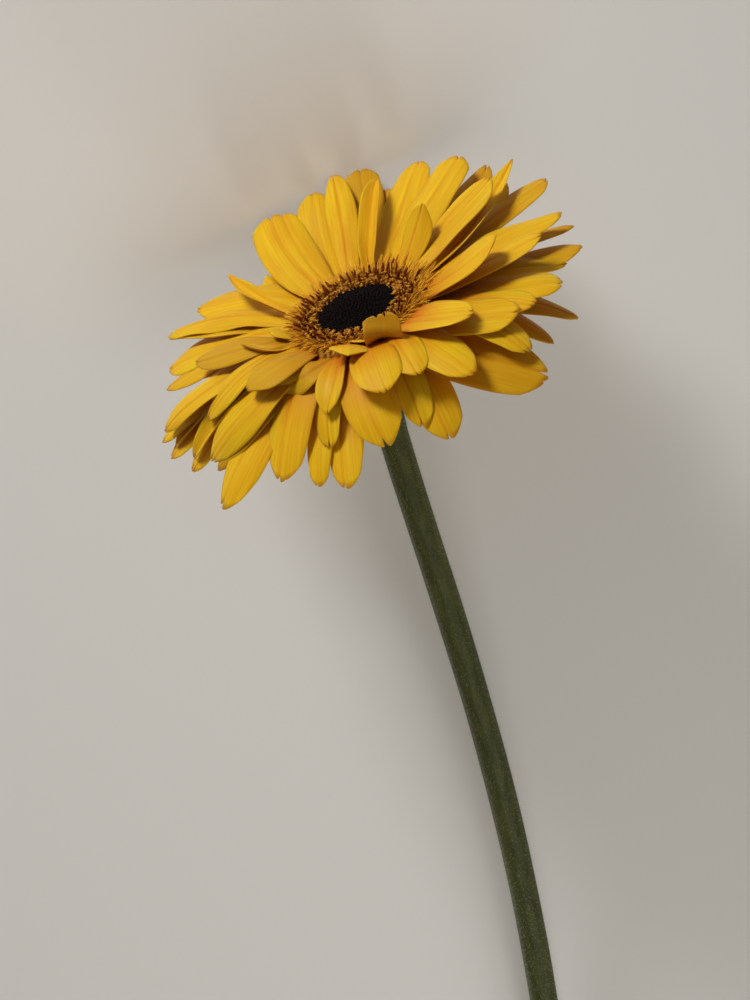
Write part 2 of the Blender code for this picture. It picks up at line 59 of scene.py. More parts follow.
ANY_WAY = 6.28
TISSUE_IOR = 1.42
FLORET_SEED = 4100
CUT_SEED = 77
# The Mix node's numbers for its two colours and its colour output
COLOUR_A, COLOUR_B, COLOUR_OUT = 6, 7, 2
# What a blade's mesh tells its material at each point
BLADE_ATTRIBUTES = ("share", "groove", "under", "floret", "warmth")

Pair = tuple[float, float]
Triple = tuple[float, float, float]
Profile = tuple[Pair, ...]


def to_linear(code: str) -> tuple[float, float, float, float]:
    """Turn an sRGB hex colour into linear values.

    Args:
        code: Six hex digits, such as "E8B41C".

    Returns:
        Red, green and blue in linear light, and an alpha of 1.
    """
    values = []
    for start in (0, 2, 4):
        level = int(code[start:start + 2], 16) / 255.0
        values.append(level / 12.92 if level <= 0.04045 else ((level + 0.055) / 1.055) ** 2.4)
    return (values[0], values[1], values[2], 1.0)


def add_node(tree: NodeTree, kind: str, inputs: dict | None = None, **settings) -> NodeOutputs:
    """Add a node with its settings, values and links.

    Args:
        tree: The node tree that takes the node.
        kind: The node's type name.
        inputs: Input name or number to a value, or to the output socket that feeds it.
        **settings: Properties of the node itself.

    Returns:
        The new node's outputs.
    """
    node = tree.nodes.new(kind)
    for name, value in settings.items():
        setattr(node, name, value)
    for key, value in (inputs or {}).items():
        if isinstance(value, Socket):
            tree.links.new(value, node.inputs[key])
        else:
            node.inputs[key].default_value = value
    return node.outputs


def new_material(name: str, constants: dict[str, object]) -> tuple[Material, Node]:
    """Start a material.

    Args:
        name: The material's name.
        constants: Values of the shader's own sockets that are the same all over the surface.

    Returns:
        The material and its shader.
    """
    material = bpy.data.materials.new(name)
    material.use_nodes = True
    shader = material.node_tree.nodes["Principled BSDF"]
    for key, value in constants.items():
        shader.inputs[key].default_value = value
    return material, shader


def link_object(name: str, data: ID) -> Object:
    """Put a new object in the scene, at the origin.

    Args:
        name: The object's name.
        data: Its mesh, light or camera.

    Returns:
        The new object.
    """
    thing = bpy.data.objects.new(name, data)
    bpy.context.scene.collection.objects.link(thing)
    return thing


def mesh_object(name: str, points: np.ndarray, faces: list, matrix: Matrix | None = None) -> Object:
    """Make a smooth object at the origin from points and faces.

    Args:
        name: The object's name.
        points: One row of three numbers for each vertex.
        faces: Vertex numbers of each face.
        matrix: Where the points go, or None if they are in place already.

    Returns:
        The new object.
    """
    mesh = bpy.data.meshes.new(name)
    mesh.from_pydata([tuple(point) for point in points], [], faces)
    if matrix is not None:
        mesh.transform(matrix)
    mesh.shade_smooth()
    return link_object(name, mesh)


def sheet_faces(rows: int, columns: int) -> list[tuple[int, ...]]:
    """List the faces of a thin closed sheet: an upper grid of points, then a lower one.

    Args:
        rows: Points along the sheet.
        columns: Points across it.

    Returns:
        Vertex numbers of each face.
    """
    count = rows * columns
    faces = []
    for i in range(rows - 1):
        for j in range(columns - 1):
            a = i * columns + j
            faces.append((a, a + columns, a + columns + 1, a + 1))
            faces.append((count + a, count + a + 1, count + a + columns + 1, count + a + columns))
        left, right = i * columns, (i + 1) * columns - 1
        faces.append((left, count + left, count + left + columns, left + columns))
        faces.append((right + columns, count + right + columns, count + right, right))
    for j in range(columns - 1):
        a = (rows - 1) * columns + j
        faces.append((a, count + a, count + a + 1, a + 1))
        faces.append((j, j + 1, count + j + 1, count + j))
    return faces


def join(name: str, things: list[Object]) -> Object:
    """Join plain meshes at the origin in one object that keeps each one's material.

    Args:
        name: Name of the joined object.
        things: The objects, which are removed.

    Returns:
        The joined object.
    """
    bm = bmesh.new()
    materials = []
    for thing in things:
        finish = thing.data.materials[0]
        if finish not in materials:
            materials.append(finish)
        start = len(bm.faces)
        bm.from_mesh(thing.data)
        bm.faces.ensure_lookup_table()
        for face in bm.faces[start:]:
            face.material_index = materials.index(finish)
            face.smooth = True
    mesh = bpy.data.meshes.new(name)
    bm.to_mesh(mesh)
    bm.free()
    for finish in materials:
        mesh.materials.append(finish)
    for thing in things:
        bpy.data.objects.remove(thing, do_unlink=True)
    return link_object(name, mesh)


def give(piece: Object, slot: str, *nodes: str) -> None:
    """Tie a finished piece to the frame.

    Args:
        piece: The piece, in place.
        slot: The name of a material slot, which is not used.
        *nodes: The CAD nodes that it stands for.
    """
    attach(piece, BODY)
    if nodes:
        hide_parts(*nodes)
    LOG.info("%s: %d faces", piece.name, len(piece.data.polygons))


@dataclass(frozen=True)
class Turned:
    """A closed turned form, such as a bud, an anther or a cup. Sizes in mm.

    The profile holds each ring's radius and height. A loop joins the last ring to the first and has no end
    caps. The lobing is how far each ring follows five lobes, as a share of its radius, and the bend is how
    far the top leans to one side, growing with the square of the height.
    """

    name: str
    profile: Profile
    sides: int
    loop: bool = False
    lobing: tuple[float, ...] = ()
    bend: float = 0.0

    def build(self, matrix: Matrix | None = None) -> Object:
        """Make the form.

        Args:
            matrix: Where it goes, or None if it stays on the origin.

        Returns:
            The new object.
        """
        top = max(abs(height) for _, height in self.profile)
        sides, count = self.sides, len(self.profile)
        points, faces = [], []
        for ring, (radius, height) in enumerate(self.profile):
            follow = self.lobing[ring] if self.lobing else 0.0
            aside = self.bend * (height / top) ** 2
            for i in range(sides):
                angle = 2.0 * math.pi * i / sides
                reach = radius * (1.0 + follow * math.cos(5.0 * angle))
                points.append((reach * math.cos(angle) + aside, reach * math.sin(angle), height))
        for ring in range(count if self.loop else count - 1):
            for i in range(sides):
                j = (i + 1) % sides
                a, b = ring * sides, (ring + 1) % count * sides
                faces.append((a + i, a + j, b + j, b + i))
        if not self.loop:
            faces.append(tuple(reversed(range(sides))))
            faces.append(tuple(range((count - 1) * sides, count * sides)))
        return mesh_object(self.name, np.array(points), faces, matrix)


@dataclass(frozen=True)
class PetalTissue:
    """Living ray floret tissue, grown as a thin blade of yellow cells under a waxy skin.

    The skin gives the eye a soft satin gloss, the parallel veins give fine lengthwise streaks and ribs, and
    the cells let a little light through, so that a shaded blade still glows. Lengths are in mm. The orange
    values say how much orange there is at the root, at the tip, in soft patches and in the grooves. The
    orange at the root is partly the blade's own colour and partly painted shade, and the orange in the
    grooves is painted shade. The underside's colour also paints shade on the upper faces of some florets. The
    reach
    values say where it begins and is full: in shares of the blade, or of the noise for streaks and patches.
    """

    golden: str = "DAA80E"
    pale: str = "E6BC1C"
    # Orange of the blade's base, tip and patches, also used as painted shade at the roots and in the grooves
    orange: str = "C46602"
    # Underside's colour, darkened by painted shade; it also paints shade on the upper faces of some florets
    under: str = "A8760E"
    vein_spacing: float = 0.42
    streak_length: float = 16.0
    streak_reach: Pair = (0.35, 0.7)
    patch_width: float = 4.0
    patch_reach: Pair = (0.42, 0.75)
    # Orange at the root: partly the blade's own base colour, partly painted shade reaching far along it
    root_orange: float = 1.4
    root_reach: Pair = (0.74, 0.05)
    tip_orange: float = 0.35
    tip_reach: Pair = (0.965, 1.0)
    patch_orange: float = 0.24
    # Painted shade in the grooves
    groove_shade: float = 0.34
    # How much of the underside's colour shows, on lower faces and as painted shade on upper ones
    underside: float = 0.85
    roughness: float = 0.5
    specular: float = 0.16
    sheen: float = 0.05
    sheen_roughness: float = 0.5
    glow: float = 0.3
    glow_depth: Triple = (1.2, 0.5, 0.05)
    glow_scale: float = 0.9
    vein_relief: float = 0.09
    vein_strength: float = 0.6
    floret_step: float = 60.0

    def build(self) -> Material:
        """Make the material.

        Returns:
            The material, which reads the blade's UV map in mm and its attributes: share is the place along
            the blade, groove how deep a groove is there, under how much of the underside's colour shows,
            which on upper faces is painted shade, floret a number of the floret's own, and the fifth how much
            painted shade deepens the orange at its root.
        """
        material, shader = new_material("petal_tissue", {
            "Roughness": self.roughness, "IOR": TISSUE_IOR, "Specular IOR Level": self.specular,
            "Sheen Weight": self.sheen, "Sheen Roughness": self.sheen_roughness,
            "Subsurface Weight": self.glow, "Subsurface Radius": self.glow_depth,
            "Subsurface Scale": self.glow_scale * MM,
        })
        tree = material.node_tree
        place = add_node(tree, "ShaderNodeUVMap", uv_map="blade")["UV"]
        share, groove, under, floret, warmth = (
            add_node(tree, "ShaderNodeAttribute", attribute_name=name)["Fac"] for name in BLADE_ATTRIBUTES
        )
        apart = add_node(tree, "ShaderNodeMath", {0: floret, 1: self.floret_step}, operation="MULTIPLY")[0]
        apart = add_node(tree, "ShaderNodeCombineXYZ", {"Z": apart})[0]
        noises = []
        for width, detail in ((self.vein_spacing, 2.0), (self.patch_width, 1.0)):
            scale = (1.0 / width, 1.0 / self.streak_length, 1.0)
            spot = add_node(tree, "ShaderNodeMapping", {"Vector": place, "Scale": scale})[0]
            spot = add_node(tree, "ShaderNodeVectorMath", {0: spot, 1: apart})[0]
            noise = {"Vector": spot, "Scale": 1.0, "Detail": detail}
            noises.append(add_node(tree, "ShaderNodeTexNoise", noise)["Fac"])
        veins, patches = noises
        streak, root, tip, patch = (
            add_node(tree, "ShaderNodeMapRange", {
                "Value": value, "From Min": low, "From Max": high, "To Min": 0.0, "To Max": most,
            })[0]
            for value, (low, high), most in (
                (veins, self.streak_reach, 1.0),
                (share, self.root_reach, self.root_orange),
                (share, self.tip_reach, self.tip_orange),
                (patches, self.patch_reach, self.patch_orange),
            )
        )
        # Orange at the roots, partly painted shade, and in the grooves, painted shade; the underside's colour
        # paints shade on some upper faces
        warm, crease, shade_and_underside = (
            add_node(tree, "ShaderNodeMath", {0: value, 1: by}, operation="MULTIPLY")[0]
            for value, by in ((root, warmth), (groove, self.groove_shade), (under, self.underside))
        )
        for part in (tip, patch, crease):
            warm = add_node(tree, "ShaderNodeMath", {0: warm, 1: part}, use_clamp=True)[0]
        colour = to_linear(self.golden)
        for factor, code in ((streak, self.pale), (warm, self.orange), (shade_and_underside, self.under)):
            colour = add_node(tree, "ShaderNodeMix", {
                "Factor": factor, COLOUR_A: colour, COLOUR_B: to_linear(code),
            }, data_type="RGBA")[COLOUR_OUT]
        ribs = add_node(tree, "ShaderNodeBump", {
            "Height": veins, "Strength": self.vein_strength, "Distance": self.vein_relief * MM,
        })["Normal"]
        tree.links.new(colour, shader.inputs["Base Color"])
        tree.links.new(ribs, shader.inputs["Normal"])
        return material


@dataclass(frozen=True)
class PlantTissue:
    """Other living tissue: one colour with a second in soft patches, and a fine grain of cells.

    Sizes are in mm. Real cells are about 0.04 mm wide, so the grain is drawn coarser than that to show.
    """

    name: str
    main: str
    second: str
    patch: float = 1.5
    grain: float = 0.25
    relief: float = 0.03
    roughness: float = 0.6
    sheen: float = 0.1
    subsurface: float = 0.05
    specular: float = 0.4
    stretch: Triple = (1.0, 1.0, 1.0)
    patch_reach: Pair = (0.35, 0.65)
    glow_depth: Triple = (0.6, 0.5, 0.2)
    strength: float = 0.5

    def build(self) -> Material:
        """Make the material on Object coordinates.

        Returns:
            The material.
        """
        material, shader = new_material(self.name, {
            "Roughness": self.roughness, "IOR": TISSUE_IOR, "Specular IOR Level": self.specular,
            "Sheen Weight": self.sheen, "Subsurface Weight": self.subsurface,
            "Subsurface Radius": self.glow_depth, "Subsurface Scale": MM,
        })
        tree = material.node_tree
        place = add_node(tree, "ShaderNodeTexCoord")["Object"]
        place = add_node(tree, "ShaderNodeMapping", {"Vector": place, "Scale": self.stretch})[0]
        patches, cells = (
            add_node(tree, "ShaderNodeTexNoise", {
                "Vector": place, "Scale": 1.0 / (size * MM), "Detail": detail,
            })["Fac"]
            for size, detail in ((self.patch, 2.0), (self.grain, 1.0))
        )
        spread = add_node(tree, "ShaderNodeMapRange", {
            "Value": patches, "From Min": self.patch_reach[0], "From Max": self.patch_reach[1],
        })[0]
        colour = add_node(tree, "ShaderNodeMix", {
            "Factor": spread, COLOUR_A: to_linear(self.main), COLOUR_B: to_linear(self.second),
        }, data_type="RGBA")[COLOUR_OUT]
        bump = add_node(tree, "ShaderNodeBump", {
            "Height": cells, "Strength": self.strength, "Distance": self.relief * MM,
        })["Normal"]
        tree.links.new(colour, shader.inputs["Base Color"])
        tree.links.new(bump, shader.inputs["Normal"])
        return material


# The florets' short stalks: waxy and tanned, a warm shade between the petals and the disc
CLAW_SKIN = PlantTissue("claw_skin", main="B8801C", second="8E5A14", patch=1.2, grain=0.2,
                        roughness=0.55, subsurface=0.1)
# Scales of closed buds: near black and dry, so they give almost no light back
CLOSED_BUD = PlantTissue("closed_bud", main="080404", second="110807", patch=0.8, grain=0.12,
                         relief=0.02, roughness=0.7, sheen=0.0, subsurface=0.0, specular=0.1)
# Lips of open disc florets: waxy gold with brown throats, so the ring looks crumbly
OPEN_FLORET = PlantTissue("open_floret", main="E6A02A", second="74320C", patch=0.45, grain=0.15,
                          roughness=0.5, sheen=0.0, subsurface=0.1, specular=0.2)
# Anther tubes: dry papery skins, dark maroon with a little brown and hardly any gloss
ANTHER = PlantTissue("anther", main="521A08", second="8E3C10", patch=0.5, grain=0.1,
                     roughness=0.5, sheen=0.0, specular=0.15)
# Filaments: thin moist threads, the palest gold of the disc, that light shines into
FILAMENT = PlantTissue("filament", main="F0B42C", second="CC8A1A", patch=0.7, grain=0.15,
                       roughness=0.5, sheen=0.0, subsurface=0.15, specular=0.2)
# Leaf skin of the bracts: matt mid green, greyed at its edges by down
BRACT_SKIN = PlantTissue("bract_skin", main="4E6A2A", second="6B8538", patch=2.0, grain=0.2,
                         relief=0.04, roughness=0.62, sheen=0.35, subsurface=0.05)
# Down of the bracts: clear hairs that look pale green against the skin
BRACT_HAIR = PlantTissue("bract_hair", main="B9C39A", second="A3AE80", patch=2.0, roughness=0.6)
# Skin of the scape: firm deep green cuticle, streaked along the stem, with a faint gloss
STEM_SKIN = PlantTissue("stem_skin", main="383D10", second="4B4F18", patch=1.4, grain=0.18,
                        relief=0.03, roughness=0.55, sheen=0.1, subsurface=0.08, specular=0.25,
                        stretch=(1.0, 0.05, 1.0))
# Freshly cut pith: wet and pale, with open cells
CUT_PITH = PlantTissue("cut_pith", main="B9C08A", second="D3D6AE", patch=0.5, grain=0.25,
                       relief=0.08, roughness=0.45, subsurface=0.2)
# Hairs of the scape: clear, so they show as a grey bloom along the stem's rim
STEM_HAIR = PlantTissue("stem_hair", main="C2C9A8", second="AEB792", patch=3.0, roughness=0.6)


@dataclass(frozen=True)
class Picture:
    """The picture that the tips are read from, and the camera that takes it again. Lengths in mm."""

    span: float = 105.0
    span_pixels: float = 467.0
    focal_pixels: float = 3462.0
    centre: Pair = (375.0, 500.0)
    height_pixels: float = 1000.0
    eye_pixel: Pair = (357.0, 310.0)
    eye_level: float = 2.2
    elevation: float = math.radians(31.5)
    roll: float = math.radians(23.7)
    sensor: float = 36.0

    def axes(self) -> tuple[Vector, Vector, Vector, Vector]:
        """Find the viewer in the bloom's frame.

        Returns:
            The picture's right, up and towards-the-viewer directions, and the viewer's place.
        """
        right = Vector((1.0, 0.0, 0.0))
        up = Vector((0.0, math.sin(self.elevation), math.cos(self.elevation)))
        back = Vector((0.0, -math.cos(self.elevation), math.sin(self.elevation)))
        turned_right = right * math.cos(self.roll) - up * math.sin(self.roll)
        turned_up = right * math.sin(self.roll) + up * math.cos(self.roll)
        scale = self.span / self.span_pixels
        aside = (self.eye_pixel[0] - self.centre[0]) * scale
        above = (self.centre[1] - self.eye_pixel[1]) * scale
        eye = UP * self.eye_level
        place = eye - turned_right * aside - turned_up * above + back * self.focal_pixels * scale
        return turned_right, turned_up, back, place

    def sight(self, pixel: Pair, point: Vector, normal: Vector) -> Vector:
        """Find where the line of sight through a picture point meets a plane.

        Args:
            pixel: The picture point.
            point: A point of the plane, in the bloom's frame.
            normal: The plane's normal.

        Returns:
            The meeting point, in the bloom's frame.
        """
        right, up, back, place = self.axes()
        aside = (pixel[0] - self.centre[0]) / self.focal_pixels
        above = (self.centre[1] - pixel[1]) / self.focal_pixels
        ray = right * aside + up * above - back
        return place + ray * ((point - place).dot(normal) / ray.dot(normal))


@dataclass(frozen=True)
class Bloom:
    """How the bloom lies: its axis rises a little from the table. The place comes from the CAD eye."""

    rest_angle: float = math.radians(10.0)
    yaw: float = math.radians(6.0)
    eye_underside: float = -2.2
    underside_flat: float = 0.1
    cup_lean: float = 0.13
    cup_top: float = -2.5

    def turn(self) -> Matrix:
        """Turn from the bloom's frame to the world's.

        Returns:
            A 3 by 3 rotation.
        """
        across = Vector((1.0, 0.0, 0.0))
        away = Vector((0.0, math.sin(self.rest_angle), -math.cos(self.rest_angle)))
        axis = Vector((0.0, math.cos(self.rest_angle), math.sin(self.rest_angle)))
        return Matrix.Rotation(self.yaw, 3, "Z") @ Matrix((across, away, axis)).transposed()

    def centre(self) -> Vector:
        """Find the bloom's own origin from the underside of the CAD eye.

        Returns:
            The place in the world, in metres.
        """
        axis = self.turn() @ UP
        places = [vertex.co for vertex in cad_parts["disc_centre"].data.vertices]
        lowest = min(place.dot(axis) for place in places)
        underside = [place for place in places if place.dot(axis) < lowest + self.underside_flat * MM]
        low = Vector([min(place[i] for place in underside) for i in range(3)])
        high = Vector([max(place[i] for place in underside) for i in range(3)])
        return (low + high) * 0.5 - axis * self.eye_underside * MM

    def matrix(self) -> Matrix:
        """Place the bloom's frame, in mm, in the world, in metres."""
        return Matrix.Translation(self.centre()) @ self.turn().to_4x4() @ Matrix.Scale(MM, 4)

    def cup_matrix(self) -> Matrix:
        """Place the cup and the stem's top, which lean to one side from the cup's top down.

        Returns:
            A 4 by 4 matrix.
        """
        lean = Matrix.Identity(4)
        lean[0][2] = self.cup_lean
        lean[0][3] = -self.cup_lean * self.cup_top
        return self.matrix() @ lean


class Whorl(Enum):
    """A layer of ray florets: radius of its claws, their level, and how steeply they rise in degrees."""

    INNER = (14.9, 1.6, 26.0)
    MIDDLE = (15.4, 0.5, 14.0)
    OUTER = (15.9, -0.8, 4.0)

    @property
    def radius(self) -> float:
        """Radius of the claws, in mm."""
        return self.value[0]

    @property
    def level(self) -> float:
        """Level of the claws, in mm."""
        return self.value[1]

    @property
    def rise(self) -> float:
        """How steeply the claws leave the collar, in degrees."""
        return self.value[2]


@dataclass(frozen=True)
class Ray:
    """One ray floret. Lengths are in mm, angles in degrees and the tip in the picture's pixels.

    level is the tip's level, but a floret that rests has its tip on the table, which then gives its level.
    lean turns the root round the bloom, bend bows the blade sideways and fold lifts both long edges. rise is
    how steeply the claw leaves the collar, if not as its whorl does, and reach is how far the blade keeps
    that way, as a share of its length. blunt is the width left at the tip, as a share. twist turns the blade
    about its own length, and lift brings it nearer to the viewer. relief scales its ribs and lobes. How much
    of the underside's colour its upper face has is painted shade on florets that lie in shade, and stands in
    for the underside's look where a floret's back faces the viewer.
    """

    tip: Pair
    level: float
    width: float
    whorl: Whorl
    lean: float = 0.0
    bend: float = 0.0
    fold: float = -10.0
    rise: float | None = None
    reach: float = 0.45
    blunt: float = 0.5
    twist: float = 0.0
    lift: float = 0.0
    relief: float = 1.0
    # Painted shade on florets that lie in shade, and the underside's look where a floret's back faces the
    # viewer
    shade_and_underside: float = 0.0
    rests: bool = False


INNER, MIDDLE, OUTER = Whorl
# A floret's place in this table seeds its own grooves and lobes, so the order counts
RAYS = (
    Ray((272, 217), 8.0, 13.2, MIDDLE, lean=4, bend=2.5, blunt=0.8, lift=0.3, rests=True),
    Ray((313, 190), 9.0, 11.0, OUTER, lean=8, lift=-0.3, rests=True),
    Ray((333, 174), 11.0, 7.4, INNER, lean=4, bend=-3.0, blunt=0.35, rests=True),
    Ray((359, 167), 9.5, 10.2, OUTER, blunt=0.7, lift=0.4, shade_and_underside=0.6, rests=True),
    Ray((376, 176), 11.0, 6.8, INNER, fold=50, blunt=0.2),
    Ray((385, 187), 6.0, 9.5, OUTER, lift=-0.4, shade_and_underside=0.6),
    Ray((418, 158), 8.5, 10.5, MIDDLE, lean=-1, bend=1.0, lift=-1.3),
    Ray((459, 157), 8.0, 11.0, MIDDLE, lean=2, bend=1.0, blunt=0.65, lift=1.4),
    Ray((424, 203), 14.0, 8.5, INNER, lean=8, blunt=0.28),
    Ray((488, 166), 4.0, 11.0, OUTER, blunt=0.4, lift=-0.3, shade_and_underside=0.7),
    Ray((492, 179), 11.0, 10.0, INNER, lean=3),
    Ray((512, 157), 7.0, 8.0, MIDDLE, lean=-16, bend=-4.5, fold=30, blunt=0.1),
    Ray((507, 184), 3.0, 8.0, OUTER, lean=-8, blunt=0.3, lift=0.3),
    Ray((547, 179), 2.5, 11.0, MIDDLE, lean=-4, bend=0.8, blunt=0.4, lift=-1.7, shade_and_underside=0.35),
    Ray((562, 215), 1.0, 10.5, MIDDLE, blunt=0.35, lift=1.4),
    Ray((575, 227), -4.0, 8.0, OUTER, lean=5, bend=2.0, blunt=0.2, shade_and_underside=0.7),
    Ray((541, 234), 5.0, 10.0, MIDDLE, lean=-3, blunt=0.4, lift=1.1),
    Ray((497, 235), 11.0, 11.2, INNER, bend=-1.5, blunt=0.35),
    Ray((584, 246), -3.0, 11.5, OUTER, blunt=0.3, lift=-4.0, shade_and_underside=0.5),
    Ray((568, 264), -4.5, 9.5, MIDDLE, lean=3, blunt=0.4, lift=-2.8),
    Ray((562, 279), -4.0, 12.0, OUTER, lean=-4, lift=3.0),
    Ray((535, 302), -3.0, 9.5, OUTER, lean=4, lift=3.9),
    Ray((520, 310), -1.0, 13.5, MIDDLE, lean=-12, bend=-1.2, lift=1.4),
    Ray((474, 313), 5.0, 11.5, INNER, lean=-8, bend=-1.2, fold=5),
    Ray((580, 316), -10.0, 8.5, OUTER, lean=8, bend=-1.0, blunt=0.3, lift=-3.5, shade_and_underside=0.6),
    Ray((556, 341), -12.5, 9.0, OUTER, lean=6, blunt=0.25, lift=-3.0, shade_and_underside=0.6),
    Ray((532, 349), -8.0, 9.0, MIDDLE, lean=4, lift=3.0),
    Ray((549, 377), -13.5, 14.5, OUTER, lean=-18, shade_and_underside=0.45),
    Ray((475, 372), -2.0, 10.8, INNER, lean=4, bend=-4.5, lift=-1.6, relief=0.5),
    Ray((419, 374), 0.0, 9.0, INNER, lean=4, lift=1.0, relief=0.5),
    Ray((385, 392), -1.0, 11.5, INNER, lift=3.1, relief=0.3),
    Ray((383, 316), 8.0, 9.0, INNER, lean=-8, fold=-20, rise=22, reach=1.15, blunt=1.0,
        twist=-19, lift=2.0, relief=0.45, shade_and_underside=0.6),
    Ray((388, 447), -12.0, 12.6, MIDDLE, lean=-4, lift=1.6),
    Ray((425, 427), -11.0, 8.0, MIDDLE, lean=6),
    Ray((453, 438), -14.5, 11.0, OUTER, lean=4, lift=-1.0, shade_and_underside=0.2),
    Ray((348, 358.5), 4.0, 9.0, INNER, rise=60, blunt=0.1, twist=-20, lift=4.0, relief=0.2),
    Ray((364, 343), 5.0, 7.0, INNER, rise=60, blunt=0.15, twist=-25, lift=-0.5, relief=0.2),
    Ray((326, 415), -5.0, 6.6, MIDDLE, lean=4, fold=15, blunt=0.3, lift=3.1),
    Ray((329, 449), -10.5, 7.0, MIDDLE),
    Ray((318, 487), -15.5, 6.4, OUTER, lean=4, bend=-1.2, lift=-2.4),
    Ray((348, 489), -16.5, 9.0, OUTER, lean=2, lift=-3.8),
    Ray((282, 482), -15.5, 12.0, MIDDLE, lean=2, bend=0.5, lift=0.4),
    Ray((221, 509), -18.5, 11.5, OUTER, lean=10, bend=1.5, blunt=0.4, lift=-2.9),
    Ray((244, 388), 2.0, 11.5, INNER, lean=10, blunt=0.35, lift=2.5, relief=0.5, shade_and_underside=0.55),
    Ray((273, 387), -1.5, 9.0, MIDDLE, lean=28, blunt=0.4, lift=4.0, shade_and_underside=0.6),
    Ray((208, 462), -14.0, 10.2, MIDDLE, lean=24, bend=0.5, blunt=0.35, lift=1.6),
    Ray((217, 471), -15.5, 6.5, OUTER, lean=20, blunt=0.3, lift=1.2, shade_and_underside=0.7),
    Ray((189, 471), -16.5, 9.0, OUTER, lean=12, blunt=0.35, lift=-4.0),
    Ray((205, 420), -7.0, 8.0, INNER, lean=12, blunt=0.35, lift=2.5),
    Ray((167, 457), -14.5, 10.5, OUTER, lean=8, blunt=0.35, lift=-4.0),
    Ray((177, 447), -12.5, 8.0, MIDDLE, lean=12, fold=35, blunt=0.3, lift=-3.8),
    Ray((159, 441), -11.0, 8.5, OUTER, lean=4, blunt=0.3, lift=-4.0),
    Ray((160, 429), -8.0, 9.5, MIDDLE, lean=8, blunt=0.35, lift=-0.4),
    Ray((193, 459), -14.5, 8.0, MIDDLE, lean=16, fold=40, blunt=0.3, lift=-1.7),
    Ray((166, 389), -7.0, 9.5, OUTER, lean=-2, blunt=0.35, lift=0.4, shade_and_underside=0.3),
    Ray((167, 367), -4.0, 12.0, MIDDLE, lean=5, bend=-1.5, lift=-4.0),
    Ray((178, 380), -7.0, 9.0, OUTER, lean=8, blunt=0.15, lift=-2.8, shade_and_underside=0.4),
    Ray((197, 363), -1.0, 8.5, INNER, lean=18, bend=3.0, blunt=0.35, lift=2.6, shade_and_underside=0.6),
    Ray((168, 336), -2.0, 7.8, MIDDLE, lean=4, bend=-2.8, blunt=0.3),
    Ray((197, 311), -1.0, 15.0, OUTER, lean=-14, bend=-2.5, blunt=0.4, lift=2.7),
    Ray((229, 274), 5.0, 4.8, INNER, lean=22, fold=52, blunt=0.05),
    Ray((270, 273), 2.0, 10.5, OUTER, lean=4, lift=-2.8),
    Ray((241, 345), 5.0, 3.4, INNER, lean=10, bend=5.0, fold=30, rise=10, blunt=0.3, lift=1.8,
        shade_and_underside=0.5),
    Ray((169, 336), -4.0, 5.6, OUTER, lean=4, blunt=0.3, lift=4.0, shade_and_underside=0.2),
    Ray((268, 330), 6.0, 6.0, INNER, lean=2, rise=55),
)


@dataclass(frozen=True)
class Habit:
    """What chance gives one floret. Grooves hold a place across the blade, from -1 to 1, and a depth."""

    grooves: tuple[Pair, ...]
    notch: float
    phase: float
    wave: float
    wavelength: float
    curl: float
    number: float

    @classmethod
    def draw(cls, index: int) -> "Habit":
        """Draw a floret's habit, the same on every run.

        Args:
            index: The floret's place in the table.

        Returns:
            Its habit, with lengths in mm.
        """
        chance = random.Random(FLORET_SEED + index)
        first = chance.uniform(-0.28, 0.28)
        second = first + math.copysign(chance.uniform(0.42, 0.55), -first)
        return cls(
            grooves=((first, chance.uniform(0.25, 1.0)), (second, chance.choice((0.0, 0.1, 0.5)))),
            notch=chance.uniform(0.5, 1.2),
            phase=chance.uniform(0.0, 2.0 * math.pi),
            wave=chance.uniform(0.1, 0.45),
            wavelength=chance.uniform(2.4, 4.0),
            curl=chance.uniform(-1.2, 0.6),
            number=chance.random(),
        )


@dataclass(frozen=True)
class Spine:
    """The curve that a blade follows: from its root, by a bow point, to its tip. Lengths in mm."""

    root: np.ndarray
    bow: np.ndarray
    tip: np.ndarray
    start: np.ndarray
    across: np.ndarray

    @property
    def chord(self) -> float:
        """Straight length from root to tip."""
        return float(np.linalg.norm(self.tip - self.root))

    def place(self, share: np.ndarray) -> np.ndarray:
        """Find the points at shares of the curve."""
        rest = 1 - share
        return self.root * rest ** 2 + self.bow * 2 * share * rest + self.tip * share ** 2

    def along(self, share: np.ndarray) -> np.ndarray:
        """Find the curve's direction at shares of it."""
        way = (self.bow - self.root) * (1 - share) + (self.tip - self.bow) * share
        return way / np.linalg.norm(way, axis=-1, keepdims=True)


